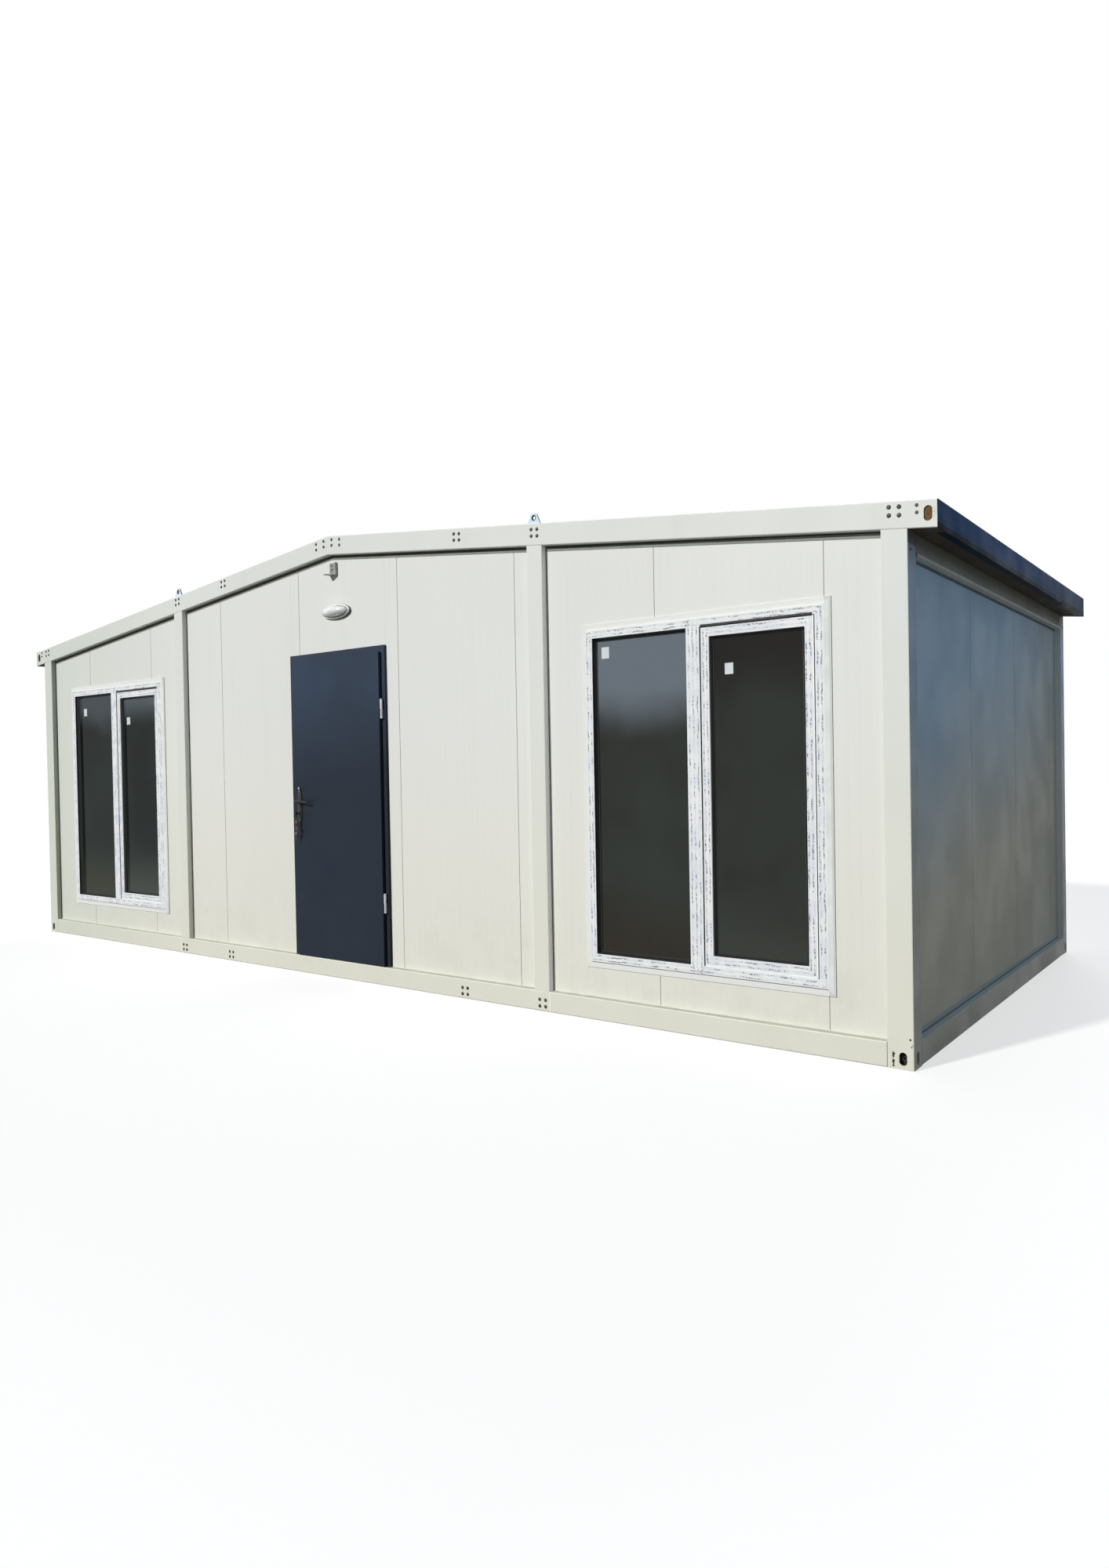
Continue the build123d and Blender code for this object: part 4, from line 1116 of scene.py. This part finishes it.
# Oval loop in a plane of constant y, with ripples for the pressed ribs of the lens
def oval(centre, radii, y, share=1.0, ripple=0.0):
    loop = []
    for i, a in enumerate(circle(96)):
        k = share * (1.0 - ripple * (i % 4 in (0, 1)))
        loop.append((centre[0] + radii[0] * k * cos(a), y, centre[1] + radii[1] * k * sin(a)))
    return loop


# Oval lamp: base with a rolled rim and a seal, and a ribbed pressed lens
def lamp():
    low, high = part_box("lamp_base")
    centre = ((low.x + high.x) / 2, (low.z + high.z) / 2)
    rx, rz = (high.x - low.x) / 2, (high.z - low.z) / 2
    face = -WALL_FACE
    rim = face - 0.024
    body = ((face, 0.0), (face - 0.012, 0.0), (face - 0.018, 0.0015), (face - 0.023, 0.005),
            (rim, 0.008), (rim, 0.0115), (rim + 0.003, 0.014), (rim + 0.004, 0.017))
    seal = ((rim + 0.002, 0.0112), (rim - 0.0010, 0.0116), (rim - 0.0016, 0.0132), (rim - 0.0010, 0.0148),
            (rim + 0.003, 0.0152))
    base = Shape()
    for kind, steps in enumerate((body, seal)):
        base.loft([oval(centre, (rx - inset, rz - inset), y) for y, inset in steps], kind)
    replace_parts(base.build("lamp_body", ["lamp_white", "lamp_seal"], "lamp_rim", smooth=50), "lamp_base")
    lens = Shape()
    inset, dome = 0.0145, 0.0485
    turns = [radians(85) * i / 12 for i in range(13)]
    lens.loft([oval(centre, (rx - inset, rz - inset), rim + 0.004 - dome * sin(t), cos(t),
                    0.035 * cos(t) ** 0.5) for t in turns])
    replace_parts(lens.build("lamp_lens", ["lamp_lens"], "lamp_dome", smooth=30), "lamp_glass")


def bracket_screws():
    low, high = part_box("wall_bracket")
    shape = Shape()
    cx = (low.x + high.x) / 2
    for dx, z in ((-0.016, high.z - 0.018), (-0.016, low.z + 0.040), (0.016, high.z - 0.018)):
        bolt(shape, (cx + dx, -WALL_FACE - 0.004, z), (0, -1, 0), 0.004, 0.0045)
    shape.build("bracket_screws", ["bolt_dark"], "bracket_zinc", smooth=40)


lamp()
bracket_screws()

# Places of the door furniture
plate_low, plate_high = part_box("lever_plates")
PLATE_X = (plate_low.x + plate_high.x) / 2
PLATE_Z = (plate_low.z, plate_high.z)
PLATE_HALF, PLATE_REACH = 0.021, 0.125
LEVER_Z, LOCK_Z = 1.178, 1.098
LEAF_THICK = 0.045
LEAF_BACK = -HALF_DEPTH + LEAF_THICK
HINGE_MIDDLES, HINGE_REACH = (0.526, 1.776), 0.061
LEAF_FACES = (("outer", -HALF_DEPTH, -1), ("inner", LEAF_BACK, 1))


# Outline of a lever plate: narrow rounded ends and a stepped, wider middle
def plate_outline():
    z0, z1 = PLATE_Z
    neck, arc = PLATE_HALF * 0.55, 0.012
    turns = [pi * i / 8 for i in range(9)]
    foot = [(neck * cos(a), z0 + arc - arc * sin(a)) for a in turns]
    steps = [(-0.55, 0.022), (-0.7, 0.030), (-1.0, 0.046), (-1.0, 0.209), (-0.7, 0.223), (-0.55, 0.231)]
    left = [(PLATE_HALF * share, z0 + rise) for share, rise in steps]
    head = [(-neck * cos(a), z1 - arc + arc * sin(a)) for a in turns]
    return foot + left + head + [(-x, z) for x, z in reversed(left)]


def lever_plate(name, y_leaf, out):
    shape = Shape()
    outline = plate_outline()
    zc = (PLATE_Z[0] + PLATE_Z[1]) / 2
    loops = []
    for depth, inset in ((0.0, 0.0), (0.0035, 0.0), (0.0055, 0.0015), (0.0065, 0.0035)):
        loops.append([(PLATE_X + x * (1 - inset / PLATE_HALF), y_leaf + out * depth,
                       zc + (z - zc) * (1 - inset / PLATE_REACH)) for x, z in outline])
    shape.loft(loops)
    collar = ((0.006, 0.0145), (0.009, 0.014), (0.0105, 0.0115), (0.0105, 0.0095))
    rose = ((0.006, 0.0125), (0.0085, 0.012), (0.009, 0.0095))
    screw = ((0.005, 0.0042), (0.0078, 0.0036), (0.0082, 0.002))
    finial = ((0.004, 0.0105), (0.0085, 0.0102), (0.0125, 0.0075), (0.0138, 0.003))
    low, high = PLATE_Z
    for z, steps, sides, kind in (
            (LEVER_Z, collar, 32, 0), (LOCK_Z, rose, 28, 0),
            (low + 0.030, screw, 16, 1), (high - 0.030, screw, 16, 1), (high - 0.010, finial, 24, 1)):
        shape.turned((PLATE_X, y_leaf, z), (0, out, 0), steps, sides, kind)
    piece = shape.build(name, ["bronze_dark", "finial_bright"], "bronze", "door", smooth=45)
    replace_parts(piece, "lever_plates")


# Lever with a swelling neck and a grip that bends back to a thin tip
def lever(name, y_leaf, out):
    shape = Shape()
    hub, axis = (PLATE_X, y_leaf, LEVER_Z), (0, out, 0)
    shape.turned(hub, axis, [(0.006, 0.0092), (0.012, 0.0092), (0.020, 0.0078), (0.030, 0.0072)], 28)
    steps, bend = 24, 0.8
    loops = []
    for i in range(steps + 1):
        t = i / steps
        x = PLATE_X - 0.007 + 0.136 * t
        bow = 0.0415
        if t > bend:
            bow -= 0.013 * ((t - bend) / 0.2) ** 2
        z = LEVER_Z + 0.0035 * sin(t * pi * 1.6)
        high = 0.0092 - 0.0028 * t + 0.0012 * cos(t * pi * 2)
        thick = 0.0062 - 0.0014 * t
        if i in (0, steps):
            high, thick = high * 0.55, thick * 0.55
        y = y_leaf + out * bow
        loops.append([(x, y + thick * cos(a), z + high * sin(a)) for a in circle(20)])
    shape.loft(loops)
    shape.turned(hub, axis, [(0.026, 0.0105), (0.036, 0.0105), (0.042, 0.0085), (0.0455, 0.005)], 28)
    piece = shape.build(name, ["bronze_dark"], "bronze", "lever", smooth=50)
    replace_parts(piece, "door_lever")


for face, y, out in LEAF_FACES:
    lever_plate("lever_plate_" + face, y, out)
for face, y, out in LEAF_FACES:
    lever("lever_" + face, y, out)


# Keys left in the lock: one in the cylinder, two rings, and more keys with dull red bows below it
def keys():
    shape = Shape()
    x, y, z = PLATE_X, -HALF_DEPTH - 0.012, LOCK_Z
    shape.block((x - 0.0011, y - 0.010, z - 0.004), (x + 0.0011, y, z + 0.004), 0.0004, 1)
    bow = [(0.0, 0.012), (0.0004, 0.0125), (0.002, 0.0125), (0.0024, 0.012)]
    shape.turned((x - 0.0012, y - 0.021, z - 0.002), (1, 0, 0), bow, 28, 1)
    tube_ring(shape, (x, y - 0.024, z - 0.024), 0.0165, 0.0010, (0.15, 0.5))
    tube_ring(shape, (x - 0.002, y - 0.021, z - 0.056), 0.0165, 0.0010, (0.1, 0.9))
    for dx, dz, radius in ((-0.007, -0.066, 0.0165), (0.003, -0.104, 0.0135), (-0.009, -0.146, 0.0160)):
        bow = [(0.0, radius * 0.92), (0.0012, radius), (0.0042, radius), (0.0054, radius * 0.92)]
        shape.turned((x + dx, y - 0.018, z + dz), (0.25, -1, 0.1), bow, 24)
        shape.block((x + dx - 0.0052, y - 0.0215, z + dz - radius - 0.026),
                    (x + dx + 0.0052, y - 0.0188, z + dz - radius + 0.002), 0.0006)
    shape.build("key_bunch", ["tag_red", "key_steel"], "bronze", "door", smooth=45, weld=True)


# Rubber seal that the leaf closes on
def door_seal():
    shape = Shape()
    low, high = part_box("door_leaf")
    bounds = (low.x + 0.012, high.x - 0.003, low.z + 0.024, high.z - 0.020)
    ring_strip(shape, bounds, 0.006, LEAF_BACK + 0.0002, LEAF_BACK + 0.0048)
    shape.build("door_seal", ["gasket_rubber_and_shadow"], "door_paint", weld=True)


# Caps and collars of the hinges on the leaf and the jamb
def hinge_details():
    low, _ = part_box("hinges_on_leaf")
    pin_x, pin_y = low.x + 0.012, -HALF_DEPTH + 0.009
    collar = [(0.0, 0.00845), (0.003, 0.00845)]
    cap = [(-0.001, 0.0078), (0.001, 0.0076), (0.0028, 0.0055), (0.0034, 0.002)]
    moving, fixed = Shape(), Shape()
    for middle in HINGE_MIDDLES:
        for shape, way, joint in ((moving, 1, 0.0020), (fixed, -1, -0.0045)):
            shape.turned((pin_x, pin_y, middle + way * HINGE_REACH), (0, 0, way), cap, 28)
            shape.turned((pin_x, pin_y, middle + joint), (0, 0, 1), collar, 28)
    moving.build("hinge_caps_leaf", ["zinc_plate"], "hinge_zinc", "door", smooth=40)
    fixed.build("hinge_caps_frame", ["zinc_plate"], "hinge_zinc", smooth=40)


keys()
door_seal()
hinge_details()


# One shader for the light that falls on things, another for camera, glossy and transmission rays
def split_rays(tree, output, lit, seen):
    nodes, links = tree.nodes, tree.links

    def most(a, b):
        node = nodes.new("ShaderNodeMath")
        node.operation = "MAXIMUM"
        links.new(a, node.inputs[0])
        links.new(b, node.inputs[1])
        return node.outputs[0]

    rays = nodes.new("ShaderNodeLightPath").outputs
    pick = nodes.new("ShaderNodeMixShader")
    links.new(most(rays["Is Camera Ray"], most(rays["Is Glossy Ray"], rays["Is Transmission Ray"])),
              pick.inputs["Fac"])
    links.new(lit, pick.inputs[1])
    links.new(seen, pick.inputs[2])
    links.new(pick.outputs[0], nodes.new(output).inputs["Surface"])


def plain_shader(nodes, kind, colour, strength=None):
    node = nodes.new(kind)
    node.inputs["Color"].default_value = (*colour, 1)
    if strength is not None:
        node.inputs["Strength"].default_value = strength
    return node.outputs[0]


# Floor that fades into the white background and throws a darker bounce on the house
def stage():
    shape = bpy.data.meshes.new("stage_floor")
    reach, level = 60.0, -0.002
    corners = [(sx * reach, sy * reach, level) for sx, sy in ((-1, -1), (1, -1), (1, 1), (-1, 1))]
    shape.from_pydata(corners, [], [(0, 1, 2, 3)])
    floor = bpy.data.objects.new("stage_floor", shape)
    bpy.context.scene.collection.objects.link(floor)
    mat = bpy.data.materials.new("stage_floor")
    mat.use_nodes = True
    nodes, links = mat.node_tree.nodes, mat.node_tree.links
    nodes.clear()
    add = nodes.new("ShaderNodeAddShader")
    links.new(plain_shader(nodes, "ShaderNodeBsdfDiffuse", (0.42, 0.42, 0.42)), add.inputs[0])
    links.new(plain_shader(nodes, "ShaderNodeEmission", (1, 1, 1), 0.66), add.inputs[1])
    dull = plain_shader(nodes, "ShaderNodeBsdfDiffuse", (0.13, 0.13, 0.125))
    split_rays(mat.node_tree, "ShaderNodeOutputMaterial", dull, add.outputs[0])
    shape.materials.append(mat)


# White background for the eye, soft blue skylight for the house
def world():
    sky = bpy.data.worlds.new("studio")
    bpy.context.scene.world = sky
    sky.use_nodes = True
    nodes = sky.node_tree.nodes
    nodes.clear()
    soft = plain_shader(nodes, "ShaderNodeBackground", (0.76, 0.88, 1.0), 0.2)
    white = plain_shader(nodes, "ShaderNodeBackground", (1, 1, 1), 1.0)
    split_rays(sky.node_tree, "ShaderNodeOutputWorld", soft, white)


def sun(name, toward, strength, angle, colour):
    light = bpy.data.lights.new(name, "SUN")
    light.energy = strength
    light.angle = radians(angle)
    light.color = colour
    lamp_object = bpy.data.objects.new(name, light)
    lamp_object.rotation_euler = Vector(toward).to_track_quat("-Z", "Y").to_euler()
    bpy.context.scene.collection.objects.link(lamp_object)


# Camera solved from the photograph: position, yaw, pitch and roll, focal length and offset in its pixels
def camera():
    yaw, pitch, roll = (radians(a) for a in (-35.2873, -0.8337, -0.9957))
    focal, offset, photo_height, sensor = 1264.26, -73.0, 2000.0, 36.0
    ahead = Vector((sin(yaw) * cos(pitch), cos(yaw) * cos(pitch), sin(pitch)))
    right = Vector((cos(yaw), -sin(yaw), 0.0))
    up = right.cross(ahead)
    level = right * cos(roll) + up * sin(roll)
    rise = -right * sin(roll) + up * cos(roll)
    data = bpy.data.cameras.new("photo_camera")
    data.sensor_fit = "VERTICAL"
    data.sensor_height = sensor
    data.lens = focal * sensor / photo_height
    data.shift_x = offset / photo_height
    data.clip_end = 200.0
    view = bpy.data.objects.new("photo_camera", data)
    turn = Matrix((level, rise, -ahead)).transposed().to_4x4()
    view.matrix_world = Matrix.Translation((5.3477, -5.9872, 1.3605)) @ turn
    bpy.context.scene.collection.objects.link(view)
    bpy.context.scene.camera = view


stage()
world()
sun("key", (0.32, 0.80, -0.50), 3.2, 4.0, (1.0, 0.99, 0.972))
sun("back_fill", (0.25, -0.8, -0.5), 1.7, 30.0, (0.94, 0.97, 1.0))
camera()
bpy.context.scene.view_settings.view_transform = "Standard"
